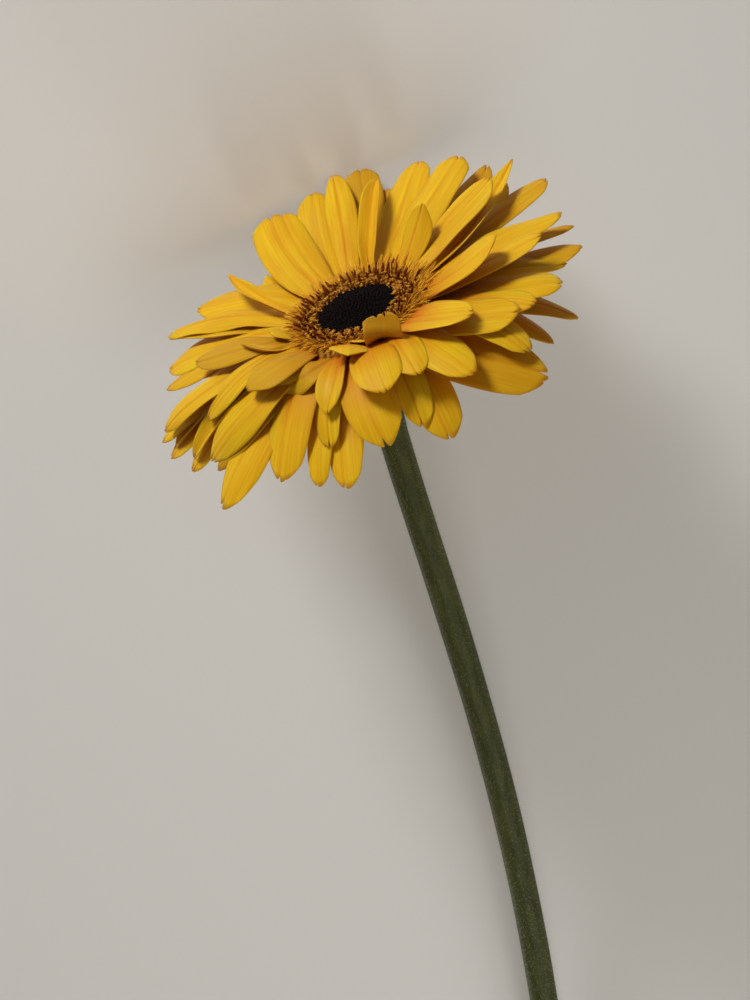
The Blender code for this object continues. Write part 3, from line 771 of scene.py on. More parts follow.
@dataclass(frozen=True)
class RayFlorets:
    """The yellow ray florets: strap-shaped blades with ribs, grooves and lobed tips. Sizes in mm.

    The places where a blade is widest, where its fold, relief, twist and lift are full, where its curl
    begins and where its root ends are shares of its length or, for the fold, of its half width.
    """

    picture: Picture
    bloom: Bloom
    rays: tuple[Ray, ...] = RAYS
    rows: int = 24
    columns: int = 15
    thickness: float = 0.36
    edge_thickness: float = 0.14
    claw: float = 0.4
    widest: float = 0.62
    shortest: float = 8.0
    root_depth: float = 1.0
    tip_clearance: float = 0.9
    groove_depth: float = 0.26
    groove_width: float = 0.10
    groove_steps: tuple[float, ...] = (-0.11, -0.045, 0.0, 0.045, 0.11)
    full_relief: float = 0.25
    full_fold: float = 0.4
    full_twist: float = 0.5
    full_lift: float = 0.6
    curl_start: float = 0.78
    root_end: float = 0.05
    other_edge_wave: float = -0.7
    # Painted shade: how orange the roots are painted, more as the floret's tip lies nearer to the viewer
    warmth: float = 0.3
    root_shade_fall: float = 60.0
    least_root_shade: float = 0.15
    notch_depth: float = 1.8
    notch_width: float = 0.07
    fold_steps: int = 40
    collar: Turned = Turned("claw_collar", (
        (13.6, -2.2), (16.5, -2.2), (16.6, 0.6), (15.8, 2.0), (14.4, 2.1), (13.6, 1.4),
    ), 72, loop=True)
    tissue: PetalTissue = PetalTissue()

    def tip_place(self, ray: Ray) -> Vector:
        """Find a floret's tip in the bloom's frame: at its level, or on the table if it rests.

        Args:
            ray: The floret.

        Returns:
            The tip's place.
        """
        if not ray.rests:
            return self.picture.sight(ray.tip, UP * ray.level, UP)
        angle = self.bloom.rest_angle
        table_up = Vector((0.0, -math.cos(angle), math.sin(angle)))
        height = self.bloom.centre().z / MM
        return self.picture.sight(ray.tip, table_up * (self.tip_clearance - height), table_up)

    def spine(self, ray: Ray) -> Spine:
        """Lay the curve that a blade follows.

        Args:
            ray: The floret.

        Returns:
            The curve, in the bloom's frame.
        """
        tip = self.tip_place(ray)
        azimuth = math.atan2(tip.y, tip.x) + math.radians(ray.lean)
        radial = np.array((math.cos(azimuth), math.sin(azimuth), 0.0))
        across = np.array((-math.sin(azimuth), math.cos(azimuth), 0.0))
        up = np.array(UP)
        rise = math.radians(ray.whorl.rise if ray.rise is None else ray.rise)
        root = radial * ray.whorl.radius + up * ray.whorl.level
        start = radial * math.cos(rise) + up * math.sin(rise)
        chord = float(np.linalg.norm(np.array(tip) - root))
        bow = root + start * chord * ray.reach + across * ray.bend
        return Spine(root, bow, np.array(tip), start, across)

    def width_share(self, share: np.ndarray, blunt: float) -> np.ndarray:
        """Width of the blade against its widest: claw, blade and blunt tip.

        Args:
            share: Shares of the blade's length.
            blunt: Width left at the tip.

        Returns:
            A width share for each length share.
        """
        swell = np.sin(0.5 * math.pi * np.clip(share / self.widest, 0.0, 1.0))
        low = self.claw + (1.0 - self.claw) * swell ** 0.8
        fall = np.clip((share - self.widest) / (1.0 - self.widest), 0.0, 1.0)
        return np.where(share < self.widest, low, 1.0 - (1.0 - blunt) * fall ** (1.2 + 2.8 * blunt))

    def lift_share(self, share: np.ndarray, rests: bool) -> np.ndarray:
        """How much of its lift a floret has along its length: none at its root, nor at a tip that rests.

        Args:
            share: Shares of the blade's length.
            rests: Whether the tip is on the table.

        Returns:
            A share of the lift for each length share.
        """
        if rests:
            return np.sin(math.pi * np.clip(share, 0.0, 1.0))
        grown = np.clip(share / self.full_lift, 0.0, 1.0)
        return grown * grown * (3.0 - 2.0 * grown)

    def outline(self, ray: Ray, habit: Habit, chord: float) -> tuple[np.ndarray, np.ndarray]:
        """Lay out the blade's grid, with more columns at its grooves and its last row on the lobed tip.

        Args:
            ray: The floret.
            habit: What chance gives it.
            chord: Its length.

        Returns:
            One row of places across the blade, from -1 to 1, and the share of its length at each point.
        """
        close = [at + step for at, _ in habit.grooves for step in self.groove_steps]
        v = np.array(sorted([*np.linspace(-1.0, 1.0, self.columns), *close]))[None, :]
        s = np.linspace(0.0, 1.0, self.rows)[:, None] ** 0.9
        lobes = sum(
            math.sqrt(deep) * np.exp(-(np.abs(v - at) / self.notch_width) ** 1.3)
            for at, deep in habit.grooves
        )
        length = max(chord, self.shortest)
        notch = self.notch_depth * ray.relief * habit.notch / length
        round_end = 0.5 * ray.width * (1.5 - ray.blunt) / length
        ending = 1.0 - round_end * (0.42 * np.abs(v) ** 2.2 + 0.12 * v ** 8) - notch * lobes
        return v, s - (1.0 - ending) * s ** 5

    def section(self, v: np.ndarray, half: np.ndarray, fold: float) -> tuple[np.ndarray, np.ndarray]:
        """Fold the blade's flat width about its midrib, keeping its length across.

        Args:
            v: Places across the blade.
            half: Half its width at each point.
            fold: How steep its long edges are, in degrees.

        Returns:
            How far aside and how high each point is, in mm.
        """
        fine = np.linspace(0.0, 1.0, self.fold_steps + 1)
        slope = math.radians(fold) * np.clip(fine / self.full_fold, 0.0, 1.0)
        middle = 0.5 * (slope[1:] + slope[:-1])
        lateral, lifted = (
            np.concatenate([[0.0], np.cumsum(part / self.fold_steps)])
            for part in (np.cos(middle), np.sin(middle))
        )
        aside = np.sign(v) * np.interp(np.abs(v), fine, lateral) * half
        return aside, np.interp(np.abs(v), fine, lifted) * half

    def blade(self, index: int, ray: Ray) -> tuple[np.ndarray, list, dict[str, np.ndarray]]:
        """Shape one blade as a closed skin.

        Args:
            index: The floret's place in the table.
            ray: The floret.

        Returns:
            Points in mm, faces, and the values of each attribute at each point.
        """
        habit = Habit.draw(index)
        spine = self.spine(ray)
        chord = spine.chord
        v, u = self.outline(ray, habit, chord)
        half = 0.5 * ray.width * self.width_share(u, ray.blunt)
        aside, height = self.section(v, half, ray.fold)

        # Grooves along the blade, a wavy rim and a curled tip
        grown = np.clip(u / self.full_relief, 0.0, 1.0)
        crease = sum(deep * np.exp(-((v - at) / self.groove_width) ** 2) for at, deep in habit.grooves)
        height = height - self.groove_depth * ray.relief * crease * grown
        wave = ray.relief * habit.wave * np.sin(u * chord / habit.wavelength + habit.phase)
        height = height + wave * np.abs(v) ** 3 * grown * np.where(v > 0.0, 1.0, self.other_edge_wave)
        curled = np.clip((u - self.curl_start) / (1.0 - self.curl_start), 0.0, 1.0)
        height = height + habit.curl * curled ** 2

        # The blade's own directions, which end level on the table if it rests there
        t = u[..., None]
        along = spine.along(t)
        side = np.broadcast_to(spine.across, along.shape)
        if ray.rests:
            side = side * (1 - t) + np.array((-1.0, 0.0, 0.0)) * t
        side = side - along * np.sum(side * along, axis=-1, keepdims=True)
        side = side / np.linalg.norm(side, axis=-1, keepdims=True)
        face = np.cross(along, side)
        turn = math.radians(ray.twist) * np.clip(t / self.full_twist, 0.0, 1.0)
        side, face = side * np.cos(turn) + face * np.sin(turn), face * np.cos(turn) - side * np.sin(turn)

        # The root goes into the collar, and the lift moves the blade towards the viewer
        place = spine.place(t) - spine.start * self.root_depth * np.clip(1.0 - t / self.root_end, 0.0, 1.0)
        towards = np.array(self.picture.axes()[2])
        place = place + towards * ray.lift * self.lift_share(u, ray.rests)[..., None]
        middle = place + side * aside[..., None] + face * height[..., None]
        rim = np.maximum(np.abs(v) ** 6, np.clip((u - 0.9) / 0.1, 0.0, 1.0) ** 3)
        thick = self.thickness + (self.edge_thickness - self.thickness) * np.clip(rim, 0.0, 1.0)
        upper = middle + face * 0.5 * thick[..., None]
        lower = middle - face * 0.5 * thick[..., None]

        # Painted shade: florets whose tips are nearer to the viewer get more orange at their roots, for the
        # shade that falls there
        warmth = min(max(self.warmth - spine.tip[1] / self.root_shade_fall, self.least_root_shade), 1.0)
        points = np.concatenate([upper.reshape(-1, 3), lower.reshape(-1, 3)])
        values = {
            "share": np.tile(u.reshape(-1), 2),
            "groove": np.tile(np.clip(ray.relief * crease * grown, 0.0, 1.0).reshape(-1), 2),
            # Upper faces take the floret's painted shade, lower faces the underside's colour
            "under": np.repeat([ray.shade_and_underside, 1.0], u.size),
            "floret": np.full(2 * u.size, habit.number),
            "warmth": np.full(2 * u.size, warmth),
            "across": np.tile((v * half).reshape(-1), 2),
            "length": np.tile((u * chord).reshape(-1), 2),
        }
        return points, sheet_faces(*u.shape), values

    def whorl_object(self, whorl: Whorl, material: Material) -> Object:
        """Join the blades of one whorl in one object.

        Args:
            whorl: The whorl.
            material: The petals' material.

        Returns:
            The object, with its UV map in mm and its attributes.
        """
        points, faces, values, start = [], [], {}, 0
        for index, ray in enumerate(self.rays):
            if ray.whorl is not whorl:
                continue
            more_points, more_faces, more_values = self.blade(index, ray)
            points.append(more_points)
            faces.extend(tuple(start + corner for corner in face) for face in more_faces)
            for name, numbers in more_values.items():
                values.setdefault(name, []).append(numbers)
            start += len(more_points)
        name = f"ray_florets_{whorl.name.lower()}"
        thing = mesh_object(name, np.concatenate(points), faces, self.bloom.matrix())
        mesh = thing.data
        bm = bmesh.new()
        bm.from_mesh(mesh)
        bmesh.ops.recalc_face_normals(bm, faces=bm.faces)
        bm.to_mesh(mesh)
        bm.free()
        joined = {name: np.concatenate(numbers) for name, numbers in values.items()}
        for name in BLADE_ATTRIBUTES:
            layer = mesh.attributes.new(name, "FLOAT", "POINT")
            layer.data.foreach_set("value", joined[name].astype(np.float32))
        corners = np.zeros(len(mesh.loops), np.int32)
        mesh.loops.foreach_get("vertex_index", corners)
        places = np.stack([joined["across"][corners], joined["length"][corners]], axis=1)
        mesh.uv_layers.new(name="blade").data.foreach_set("uv", places.astype(np.float32).reshape(-1))
        mesh.materials.append(material)
        return thing

    def build(self) -> None:
        """Make the low ring that the claws stand on and the three whorls, and tie them to the frame."""
        material = self.tissue.build()
        ring = self.collar.build(self.bloom.matrix())
        ring.data.materials.append(CLAW_SKIN.build())
        give(ring, "ray_floret", "ray_florets")
        for whorl in Whorl:
            give(self.whorl_object(whorl, material), "ray_floret", "ray_florets")


@dataclass
class CopyTree:
    """A node tree that stands copies of one small form and gives them their finish."""

    name: str
    tree: NodeTree | None = None

    def open(self, kinds: dict[str, str]) -> NodeOutputs:
        """Start the tree with its named inputs.

        Args:
            kinds: Input name to the kind of its socket.

        Returns:
            The inputs' sockets inside the tree.
        """
        self.tree = bpy.data.node_groups.new(self.name, "GeometryNodeTree")
        for name, kind in kinds.items():
            self.tree.interface.new_socket(name, in_out="INPUT", socket_type=f"NodeSocket{kind}")
        self.tree.interface.new_socket("Geometry", in_out="OUTPUT", socket_type="NodeSocketGeometry")
        return add_node(self.tree, "NodeGroupInput")

    def chance(self, low: float | Socket, high: float | Socket, seed: Socket, step: int) -> Socket:
        """Draw a random value for each copy, with a step that keeps it apart from the tree's others."""
        apart = add_node(self.tree, "ShaderNodeMath", {0: seed, 1: float(step)})[0]
        return add_node(self.tree, "FunctionNodeRandomValue", {2: low, 3: high, "Seed": apart})[1]

    def close(self, points: Socket, form: Socket, turn: Socket, size: Socket, finish: Socket) -> None:
        """Stand the copies, make them real and give them their finish.

        Args:
            points: The points that they stand on.
            form: The object that is copied.
            turn: Each copy's rotation.
            size: Each copy's scale.
            finish: Their material.
        """
        shape = add_node(self.tree, "GeometryNodeObjectInfo", {"Object": form})["Geometry"]
        copies = add_node(self.tree, "GeometryNodeInstanceOnPoints", {
            "Points": points, "Instance": shape, "Rotation": turn, "Scale": size,
        })[0]
        real = add_node(self.tree, "GeometryNodeRealizeInstances", {0: copies})[0]
        dressed = add_node(self.tree, "GeometryNodeSetMaterial", {"Geometry": real, "Material": finish})
        add_node(self.tree, "NodeGroupOutput", {"Geometry": dressed[0]})

    def run(self, name: str, host: Object, form: Object, finish: Material, inputs: dict[str, object],
            matrix: Matrix | None = None) -> Object:
        """Run the tree and keep its result as a plain mesh at the origin.

        Args:
            name: Name of the new object.
            host: The object that carries the tree, which is removed afterwards.
            form: The small form, which is removed afterwards too.
            finish: The copies' material.
            inputs: The tree's other inputs by name.
            matrix: Where the result goes, or None if it is in place.

        Returns:
            The new object.
        """
        modifier = host.modifiers.new("tree", "NODES")
        modifier.node_group = self.tree
        sockets = {
            item.name: item.identifier
            for item in self.tree.interface.items_tree if item.in_out == "INPUT"
        }
        for key, value in {"Form": form, "Finish": finish, **inputs}.items():
            modifier[sockets[key]] = value
        bpy.context.view_layer.update()
        graph = bpy.context.evaluated_depsgraph_get()
        mesh = bpy.data.meshes.new_from_object(host.evaluated_get(graph))
        host.modifiers.remove(modifier)
        bpy.data.objects.remove(host, do_unlink=True)
        bpy.data.objects.remove(form, do_unlink=True)
        mesh.name = name
        mesh.materials.clear()
        mesh.materials.append(finish)
        mesh.polygons.foreach_set("material_index", np.zeros(len(mesh.polygons), np.int32))
        mesh.shade_smooth()
        if matrix is not None:
            mesh.transform(matrix)
        return link_object(name, mesh)


@dataclass(frozen=True)
class Stand:
    """How copies stand round the bloom's axis. Radii and levels are in mm and angles in radians.

    radii, levels and leans hold the innermost copy's value and the outermost one's. Each copy stands a turn
    further round, from first on, and spin is how far it may face another way. The shift moves the outer
    copies aside.
    """

    count: int
    radii: Pair
    levels: Pair
    leans: Pair
    scatter: float
    sizes: Pair
    seed: int
    turn: float = GOLDEN_TURN
    first: float = 0.0
    spin: float = 0.0
    shift: Triple = (0.0, 0.0, 0.0)

    def inputs(self) -> dict[str, object]:
        """Give each value the name of the tree's input that takes it.

        Returns:
            Input name to value.
        """
        pairs = {"Radius": self.radii, "Level": self.levels, "Lean": self.leans}
        named = {}
        for name, (inner, outer) in pairs.items():
            named[f"Inner {name}"] = inner
            named[f"Outer {name}"] = outer
        named["Smallest"], named["Largest"] = self.sizes
        for name in ("Count", "Scatter", "Turn", "First", "Spin", "Shift", "Seed"):
            named[name] = getattr(self, name.lower())
        return named


@dataclass
class FloretSpiral(CopyTree):
    """A tree that stands copies round the bloom's axis, in a spiral or in a ring, each leaning outwards."""

    name: str = "floret_spiral"
    nudge: float = 0.12

    def build(self) -> None:
        """Make the tree."""
        numbers = ("Inner Radius", "Outer Radius", "Inner Level", "Outer Level", "Inner Lean", "Outer Lean",
                   "Scatter", "Smallest", "Largest", "Turn", "First", "Spin")
        given = self.open({
            "Form": "Object", "Count": "Int", **{name: "Float" for name in numbers},
            "Shift": "Vector", "Seed": "Int", "Finish": "Material",
        })
        tree, seed, scatter = self.tree, given["Seed"], given["Scatter"]
        index = add_node(tree, "GeometryNodeInputIndex")[0]
        middle = add_node(tree, "ShaderNodeMath", {0: index, 1: 0.5})[0]
        share = add_node(tree, "ShaderNodeMath", {0: middle, 1: given["Count"]}, operation="DIVIDE")[0]
        # The square of the radius grows evenly, so that the copies stand evenly close
        squares = [
            add_node(tree, "ShaderNodeMath", {0: given[name], 1: 2.0}, operation="POWER")[0]
            for name in ("Inner Radius", "Outer Radius")
        ]
        square, level, lean = (
            add_node(tree, "ShaderNodeMix", {0: share, 2: inner, 3: outer})[0]
            for inner, outer in (
                squares,
                (given["Inner Level"], given["Outer Level"]),
                (given["Inner Lean"], given["Outer Lean"]),
            )
        )
        radius = add_node(tree, "ShaderNodeMath", {0: square}, operation="SQRT")[0]
        sway = add_node(tree, "ShaderNodeMath", {0: scatter, 1: -1.0}, operation="MULTIPLY")[0]
        jitter, lean_more, tilt = (self.chance(sway, scatter, seed, step) for step in (1, 2, 3))
        turned = {0: index, 1: given["Turn"], 2: given["First"]}
        turned = add_node(tree, "ShaderNodeMath", turned, operation="MULTIPLY_ADD")[0]
        nudge = add_node(tree, "ShaderNodeMath", {0: jitter, 1: self.nudge}, operation="MULTIPLY")[0]
        angle = add_node(tree, "ShaderNodeMath", {0: turned, 1: nudge})[0]
        cosine, sine = (
            add_node(tree, "ShaderNodeMath", {0: angle}, operation=kind)[0] for kind in ("COSINE", "SINE")
        )
        flat = add_node(tree, "ShaderNodeCombineXYZ", {0: cosine, 1: sine})[0]
        place = add_node(tree, "ShaderNodeCombineXYZ", {2: level})[0]
        for way, by in ((flat, radius), (given["Shift"], share)):
            step = add_node(tree, "ShaderNodeVectorMath", {0: way, "Scale": by}, operation="SCALE")[0]
            place = add_node(tree, "ShaderNodeVectorMath", {0: place, 1: step})[0]
        lean = add_node(tree, "ShaderNodeMath", {0: lean, 1: lean_more})[0]
        turn = add_node(tree, "ShaderNodeCombineXYZ", {0: tilt, 1: lean, 2: angle})[0]
        spun = add_node(tree, "ShaderNodeCombineXYZ", {2: self.chance(0.0, given["Spin"], seed, 4)})[0]
        turn = add_node(tree, "FunctionNodeRotateRotation", {0: turn, 1: spun}, rotation_space="LOCAL")[0]
        size = self.chance(given["Smallest"], given["Largest"], seed, 5)
        points = add_node(tree, "GeometryNodePoints", {"Count": given["Count"], "Position": place})
        self.close(points[0], given["Form"], turn, size, given["Finish"])

    def grow(self, name: str, form: Object, stand: Stand, finish: Material, matrix: Matrix) -> Object:
        """Stand copies of a form, which is removed afterwards, round the axis that the matrix places."""
        host = mesh_object(name + "_host", np.zeros((1, 3)), [])
        return self.run(name, host, form, finish, stand.inputs(), matrix)


@dataclass(frozen=True)
class Down:
    """How hairs stand on a surface: hairs per square mm, lengths in mm and lean in radians."""

    density: float
    sizes: Pair
    scatter: float
    seed: int


@dataclass
class HairCoat(CopyTree):
    """A tree that sets short fine hairs on a surface.

    The hair is a unit long. At its foot it is about 0.02 mm thick on the real plant and a little thicker
    here, so that it shows.
    """

    name: str = "hair_coat"
    hair: Turned = Turned("hair", ((0.028, -0.05), (0.02, 0.5), (0.004, 1.0)), 3, bend=0.15)

    def build(self) -> None:
        """Make the tree."""
        given = self.open({
            "Geometry": "Geometry", "Form": "Object", "Density": "Float", "Smallest": "Float",
            "Largest": "Float", "Scatter": "Float", "Seed": "Int", "Finish": "Material",
        })
        tree, seed, scatter = self.tree, given["Seed"], given["Scatter"]
        density = {0: given["Density"], 1: 1.0 / MM ** 2}
        density = add_node(tree, "ShaderNodeMath", density, operation="MULTIPLY")[0]
        spots = add_node(tree, "GeometryNodeDistributePointsOnFaces", {
            "Mesh": given["Geometry"], "Density": density, "Seed": seed,
        }, distribute_method="RANDOM")
        sway = add_node(tree, "ShaderNodeMath", {0: scatter, 1: -1.0}, operation="MULTIPLY")[0]
        tilts = {axis: self.chance(sway, scatter, seed, axis + 1) for axis in (0, 1)}
        bent = add_node(tree, "ShaderNodeCombineXYZ", tilts)[0]
        turn = {0: spots["Rotation"], 1: bent}
        turn = add_node(tree, "FunctionNodeRotateRotation", turn, rotation_space="LOCAL")[0]
        size = self.chance(given["Smallest"], given["Largest"], seed, 0)
        size = add_node(tree, "ShaderNodeMath", {0: size, 1: MM}, operation="MULTIPLY")[0]
        self.close(spots["Points"], given["Form"], turn, size, given["Finish"])

    def cover(self, name: str, surface: Object, down: Down, finish: Material) -> Object:
        """Set hairs on a surface.

        Args:
            name: Name of the new object, which holds the hairs alone.
            surface: The object that they grow on, which stays as it is.
            down: How they stand.
            finish: Their material.

        Returns:
            The hairs.
        """
        host = link_object(name + "_host", surface.data.copy())
        inputs = {
            "Density": down.density, "Smallest": down.sizes[0], "Largest": down.sizes[1],
            "Scatter": down.scatter, "Seed": down.seed,
        }
        return self.run(name, host, self.hair.build(), finish, inputs)


@dataclass(frozen=True)
class Disc:
    """The disc: a dark eye of closed buds, a golden ring of open florets and their dark anthers, in mm."""

    bloom: Bloom
    spiral: FloretSpiral
    eye_radius: float = 9.4
    eye_rim: float = 2.2
    eye_dome: float = 1.1
    eye_rings: int = 10
    under_level: float = -2.2
    bed: Turned = Turned("bed", (
        (9.6, -2.2), (13.5, -2.2), (13.5, 1.1), (12.7, 1.6), (10.4, 1.8), (9.6, 1.3),
    ), 72, loop=True)
    bud: Turned = Turned("bud", ((0.40, -0.3), (0.42, 0.1), (0.36, 0.38), (0.22, 0.56), (0.07, 0.64)), 8)
    buds: Stand = Stand(count=430, radii=(0.0, 9.3), levels=(3.3, 2.25), leans=(0.0, 0.5), scatter=0.3,
                        sizes=(0.85, 1.15), seed=3, spin=ANY_WAY)
    corolla: Turned = Turned("corolla", (
        (0.16, -0.6), (0.17, 0.4), (0.22, 1.2), (0.34, 1.65), (0.52, 1.85), (0.56, 1.72),
        (0.44, 1.80), (0.24, 1.55), (0.10, 1.1),
    ), 10, lobing=(0.0, 0.0, 0.1, 0.2, 0.42, 0.5, 0.35, 0.1, 0.0))
    corollas: Stand = Stand(count=330, radii=(9.8, 13.3), levels=(1.6, 1.4), leans=(-0.05, 0.85),
                            scatter=0.28, sizes=(0.75, 1.25), seed=11, spin=ANY_WAY, shift=(0.7, 0.4, 0.0))
    anther: Turned = Turned("anther_tube", (
        (0.14, 0.0), (0.16, 1.3), (0.29, 1.7), (0.33, 2.7), (0.27, 3.6), (0.08, 4.1),
    ), 8, bend=0.25)
    anthers: Stand = Stand(count=105, radii=(10.6, 13.4), levels=(1.6, 1.5), leans=(0.2, 0.95),
                           scatter=0.22, sizes=(0.7, 1.05), seed=17, first=1.1, spin=0.6,
                           shift=(0.9, 0.5, 0.0))
    filament: Turned = Turned("filament_thread", (
        (0.10, 0.0), (0.11, 1.5), (0.13, 3.0), (0.11, 4.0), (0.03, 4.6),
    ), 5, bend=1.3)
    filaments: Stand = Stand(count=900, radii=(12.7, 15.0), levels=(1.6, 1.6), leans=(0.6, 1.05),
                             scatter=0.3, sizes=(0.6, 1.15), seed=23, shift=(2.2, 0.8, 0.0))

    def eye(self) -> None:
        """Build the eye: a low dome set with buds in a spiral."""
        matrix = self.bloom.matrix()
        dark = CLOSED_BUD.build()
        profile = [(self.eye_radius, self.under_level)]
        for i in range(self.eye_rings):
            angle = 0.5 * math.pi * i / self.eye_rings
            height = self.eye_rim + self.eye_dome * math.sin(angle)
            profile.append((self.eye_radius * math.cos(angle), height))
        dome = Turned("dome", tuple(profile), 48).build(matrix)
        dome.data.materials.append(dark)
        buds = self.spiral.grow("buds", self.bud.build(), self.buds, dark, matrix)
        give(join("disc_eye", [dome, buds]), "disc_bud", "disc_centre")

    def ring(self) -> None:
        """Build the golden ring of open florets with their anthers and pale filaments."""
        matrix = self.bloom.matrix()
        golden = OPEN_FLORET.build()
        bed = self.bed.build(matrix)
        bed.data.materials.append(golden)
        grown = [
            self.spiral.grow(name, form.build(), stand, finish, matrix)
            for name, form, stand, finish in (
                ("corollas", self.corolla, self.corollas, golden),
                ("anthers", self.anther, self.anthers, ANTHER.build()),
                ("filaments", self.filament, self.filaments, FILAMENT.build()),
            )
        ]
        give(join("disc_ring", [bed, *grown[:2]]), "disc_floret", "disc_florets")
        give(join("disc_filaments", grown[2:]), "disc_floret")

    def build(self) -> None:
        """Build the eye and the ring."""
        self.eye()
        self.ring()


@dataclass(frozen=True)
class BractRow:
    """One row of bracts: how many, and their foot's radius and level, length in mm and lean in radians."""

    count: int
    radius: float
    level: float
    length: float
    lean: float


@dataclass(frozen=True)
class Involucre:
    """The green cup under the florets, with three rows of narrow hairy bracts. Sizes in mm."""

    bloom: Bloom
    spiral: FloretSpiral
    coat: HairCoat
    cup: Turned = Turned("cup", (
        (4.6, -16.5), (6.6, -14.5), (10.2, -11.5), (13.2, -8.0), (15.0, -5.0), (15.7, -2.5),
    ), 64)
    rows: tuple[BractRow, ...] = (
        BractRow(20, 10.9, -10.4, 9.8, 0.70),
        BractRow(16, 7.9, -13.3, 10.6, 0.88),
        BractRow(10, 5.2, -15.8, 8.6, 0.94),
    )
    bract_width: float = 3.1
    bract_foot: float = 0.62
    bract_bulge: float = 0.11
    bract_crown: float = 0.35
    bract_thickness: float = 0.5
    bract_grid: tuple[int, int] = (12, 7)
    bract_scatter: float = 0.05
    bract_sizes: Pair = (0.94, 1.05)
    first_turn: float = 0.23
    next_turn: float = 0.37
    seed: int = 31
    down: Down = Down(density=1.3, sizes=(0.35, 0.8), scatter=0.7, seed=41)

    def bract(self, length: float) -> Object:
        """Build a lance-shaped bract that stands on the origin with its outer face along X.

        Args:
            length: Its length.

        Returns:
            The bract.
        """
        rows, columns = self.bract_grid
        s = np.linspace(0.0, 1.0, rows)[:, None]
        v = np.linspace(-1.0, 1.0, columns)[None, :]
        swell = (1.0 - self.bract_foot) * np.sin(math.pi * np.clip(s / 0.7, 0.0, 1.0))
        half = 0.5 * self.bract_width * (self.bract_foot + swell)
        half = half * np.sqrt(np.clip(1.0 - s ** 3.5, 0.0006, 1.0))
        bulge = self.bract_bulge * length * np.sin(math.pi * s) + self.bract_crown * (1.0 - v ** 2)
        y = v * half
        z = np.broadcast_to(length * s, y.shape)
        thick = self.bract_thickness * (1.0 - 0.75 * v ** 2) * (1.0 - 0.6 * s)
        outer = np.stack([bulge + 0.5 * thick, y, z], axis=-1).reshape(-1, 3)
        inner = np.stack([bulge - 0.5 * thick - self.bract_crown, y, z], axis=-1).reshape(-1, 3)
        return mesh_object("bract", np.concatenate([inner, outer]), sheet_faces(rows, columns))

    def build(self) -> None:
        """Build the cup, its bracts and their hairs."""
        green = BRACT_SKIN.build()
        matrix = self.bloom.cup_matrix()
        cup = self.cup.build(matrix)
        cup.data.materials.append(green)
        things = [cup]
        for number, row in enumerate(self.rows):
            turn = 2.0 * math.pi / row.count
            stand = Stand(
                count=row.count, radii=(row.radius,) * 2, levels=(row.level,) * 2, leans=(row.lean,) * 2,
                scatter=self.bract_scatter, sizes=self.bract_sizes, seed=self.seed + number, turn=turn,
                first=turn * (self.first_turn + self.next_turn * number))
            things.append(self.spiral.grow(f"bracts_{number}", self.bract(row.length), stand, green, matrix))
        cup = join("involucre_bracts", things)
        hairs = self.coat.cover("involucre_hairs", cup, self.down, BRACT_HAIR.build())
        give(cup, "bract", "involucre")
        give(hairs, "bract")


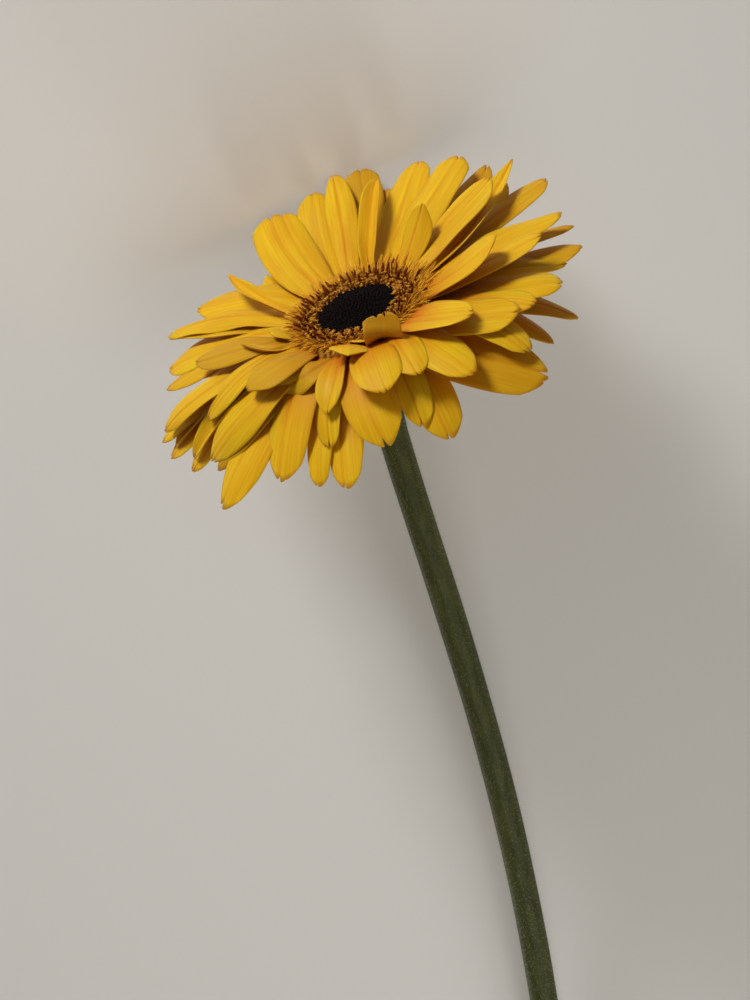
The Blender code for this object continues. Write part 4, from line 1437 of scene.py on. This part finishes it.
@dataclass(frozen=True)
class Scape:
    """The long bare stem: ribbed, finely hairy, with a pale cut end. Sizes in mm.

    The path runs from the cup along straight, then by the knee to the foot, which is counted from the
    bloom's origin in the world. The cut steps hold each ring's share of the radius and how far it stands
    out of the cut. The swellings hold a size, how fast it changes along the stem, and how often round it.
    """

    bloom: Bloom
    coat: HairCoat
    radius: float = 3.55
    neck_radius: float = 4.35
    neck_length: float = 14.0
    top_depth: float = 16.8
    straight: float = 58.4
    foot: Triple = (-21.8, -300.51, -42.9)
    knee: Triple = (32.7, 130.0, 0.0)
    ribs: int = 9
    rib_depth: float = 0.05
    rib_twist: float = 0.004
    swellings: tuple[Triple, ...] = ((0.05, 0.045, 1.0), (0.03, 0.11, -2.0))
    sides: int = 54
    rings: int = 150
    cut_steps: Profile = ((0.93, 0.25), (0.7, 0.05), (0.42, -0.35), (0.2, -0.45))
    cut_depth: float = 0.3
    cut_roughness: float = 0.012
    down: Down = Down(density=1.9, sizes=(0.35, 0.95), scatter=0.55, seed=51)

    def path(self) -> list[Vector]:
        """Find the points along the stem, in metres in the world.

        Returns:
            Points from the cup to the cut end.
        """
        matrix = self.bloom.cup_matrix()
        top = matrix @ Vector((0.0, 0.0, -self.top_depth))
        knee_top = top - (matrix.to_3x3() @ UP).normalized() * self.straight * MM
        foot = self.bloom.centre() + Vector(self.foot) * MM
        knee_foot = foot + Vector(self.knee) * MM
        points = []
        for i in range(self.rings + 1):
            u = i / self.rings
            v = 1.0 - u
            upper = top * v ** 3 + knee_top * 3.0 * v * v * u
            points.append(upper + knee_foot * 3.0 * v * u * u + foot * u ** 3)
        return points

    def reach(self, travelled: float, turn: float) -> float:
        """Find the skin's distance from the stem's middle, with the neck, the ribs and slow swellings.

        Args:
            travelled: Distance from the cup along the stem.
            turn: Angle round the stem.

        Returns:
            The distance in metres.
        """
        swell = max(0.0, 1.0 - travelled / self.neck_length)
        radius = self.radius + (self.neck_radius - self.radius) * swell
        rib = self.rib_depth * math.cos(self.ribs * turn + self.rib_twist * travelled)
        slow = sum(size * math.sin(fast * travelled + often * turn) for size, fast, often in self.swellings)
        return (radius + rib + slow - self.rib_depth) * MM

    def skin(self, path: list[Vector]) -> list[list[Vector]]:
        """Lay a ring of points round each point of the path.

        Args:
            path: Points along the stem.

        Returns:
            The rings, from the cup to the cut end.
        """
        rows, travelled = [], 0.0
        for i, point in enumerate(path):
            along = (path[min(i + 1, self.rings)] - path[max(i - 1, 0)]).normalized()
            if i:
                travelled += (point - path[i - 1]).length / MM
            side = along.cross(UP).normalized()
            upright = side.cross(along)
            row = []
            for k in range(self.sides):
                turn = 2.0 * math.pi * k / self.sides
                way = side * math.cos(turn) + upright * math.sin(turn)
                row.append(point + way * self.reach(travelled, turn))
            rows.append(row)
        return rows

    def cut_face(self, rim: list[Vector], along: Vector, centre: Vector) -> list[list[Vector]]:
        """Lay the rings of the cut end, from its rim inwards.

        Args:
            rim: The stem's last ring.
            along: The stem's direction there.
            centre: The stem's middle there.

        Returns:
            The rings.
        """
        chance = random.Random(CUT_SEED)
        rings = []
        for share, out in self.cut_steps:
            ring = []
            for point in rim:
                rough = 1.0 + chance.uniform(-self.cut_roughness, self.cut_roughness)
                ring.append(centre + (point - centre) * share * rough + along * (out - self.cut_depth) * MM)
            rings.append(ring)
        return rings

    def tube(self) -> tuple[Object, int]:
        """Build the ribbed tube, closed by its top and by the face of its cut end.

        Returns:
            The stem, and the number of the first polygon of its cut face.
        """
        path = self.path()
        rows = self.skin(path)
        rows += self.cut_face(rows[-1], (path[-1] - path[-2]).normalized(), path[-1])
        walls = []
        for i in range(len(rows) - 1):
            for k in range(self.sides):
                j = (k + 1) % self.sides
                a, b = i * self.sides, (i + 1) * self.sides
                walls.append((a + j, a + k, b + k, b + j))
        skin_faces = self.rings * self.sides
        last = (len(rows) - 1) * self.sides
        top, end = tuple(range(self.sides)), tuple(reversed(range(last, last + self.sides)))
        faces = [*walls[:skin_faces], top, *walls[skin_faces:], end]
        points = np.array([tuple(place) for row in rows for place in row])
        return mesh_object("stem", points, faces), skin_faces + 1

    def build(self) -> None:
        """Build the stem and its hairs."""
        stem, cut_start = self.tube()
        stem.data.materials.append(STEM_SKIN.build())
        hairs = self.coat.cover("scape_hairs", stem, self.down, STEM_HAIR.build())
        stem.data.materials.append(CUT_PITH.build())
        for face in stem.data.polygons[cut_start:]:
            face.material_index = 1
        stem.name = "scape_stem"
        give(stem, "scape", "scape")
        give(hairs, "scape")


@dataclass(frozen=True)
class Lamp:
    """A square soft light that points at the bloom. Sizes in metres, power in watts, spread in degrees.

    The direction counts along the picture's right, up and towards-the-viewer axes, or along the world's.
    The spread is how widely the light fans out, as a grid in front of it sets.
    """

    name: str
    direction: Triple
    distance: float
    size: float
    power: float
    spread: float = 180.0
    of_world: bool = False

    def hang(self, aim: Vector, axes: tuple[Vector, ...]) -> None:
        """Hang the lamp.

        Args:
            aim: The place that it points at.
            axes: The picture's axes in the world.
        """
        light = bpy.data.lights.new(self.name, "AREA")
        light.spread = math.radians(self.spread)
        light.size = self.size
        light.energy = self.power
        way = Vector(self.direction)
        if not self.of_world:
            way = Matrix(axes).transposed() @ way
        way.normalize()
        thing = link_object(self.name, light)
        thing.location = aim + way * self.distance
        thing.rotation_euler = way.to_track_quat("Z", "Y").to_euler()


@dataclass(frozen=True)
class Studio:
    """The pale table, soft lights and the camera. Sizes in metres."""

    picture: Picture
    bloom: Bloom
    table_size: float = 6.0
    table_colour: str = "F2F0EC"
    table_roughness: float = 0.85
    air_colour: str = "F4E6CC"
    air_strength: float = 0.16
    nearest: float = 0.05
    lamps: tuple[Lamp, ...] = (
        Lamp("key", (-0.6, 0.75, 0.65), distance=1.1, size=0.3, power=1.15, spread=60.0),
        Lamp("fill", (0.9, -0.3, 0.8), distance=1.4, size=0.9, power=0.5),
        Lamp("rim", (0.35, -0.85, -0.2), distance=1.2, size=0.35, power=0.5, spread=60.0),
        Lamp("top", (0.0, -0.5, 1.0), distance=1.3, size=0.9, power=4.0, of_world=True),
    )

    def table(self) -> None:
        """Lay the table under the flower."""
        half = 0.5 * self.table_size
        points = np.array([(-half, -half, 0.0), (half, -half, 0.0), (half, half, 0.0), (-half, half, 0.0)])
        top = mesh_object("table", points, [(0, 1, 2, 3)])
        # Matt painted board: pale and even, with no highlights
        board, _ = new_material("matt_board", {
            "Base Color": to_linear(self.table_colour), "Roughness": self.table_roughness,
        })
        top.data.materials.append(board)

    def camera(self) -> None:
        """Look at the bloom from the picture's viewing angle."""
        right, up, back, place = self.picture.axes()
        turn = self.bloom.turn()
        camera = bpy.data.cameras.new("camera")
        camera.sensor_width = self.picture.sensor
        camera.lens = self.picture.sensor * self.picture.focal_pixels / self.picture.height_pixels
        camera.clip_start = self.nearest
        thing = link_object("camera", camera)
        axes = Matrix((turn @ right, turn @ up, turn @ back)).transposed()
        thing.matrix_world = Matrix.Translation(self.bloom.matrix() @ place) @ axes.to_4x4()
        bpy.context.scene.camera = thing

    def lights(self) -> None:
        """Light the flower softly, from the side that lights it in the picture."""
        axes = tuple(self.bloom.turn() @ axis for axis in self.picture.axes()[:3])
        for lamp in self.lamps:
            lamp.hang(self.bloom.centre(), axes)
        world = bpy.data.worlds.new("studio")
        world.use_nodes = True
        air = world.node_tree.nodes["Background"].inputs
        air["Color"].default_value = to_linear(self.air_colour)
        air["Strength"].default_value = self.air_strength
        bpy.context.scene.world = world

    def build(self) -> None:
        """Set up the table, lights and camera."""
        self.table()
        self.camera()
        self.lights()
        bpy.context.scene.view_settings.view_transform = "Standard"


def main() -> None:
    """Build the flower's looks in order."""
    logging.basicConfig(level=logging.INFO, format="%(name)s: %(message)s")
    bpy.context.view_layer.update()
    picture = Picture()
    bloom = Bloom()
    Studio(picture, bloom).build()
    RayFlorets(picture, bloom).build()
    spiral = FloretSpiral()
    spiral.build()
    coat = HairCoat()
    coat.build()
    Disc(bloom, spiral).build()
    Involucre(bloom, spiral, coat).build()
    Scape(bloom, coat).build()
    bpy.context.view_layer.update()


if __name__ == "__main__":
    main()
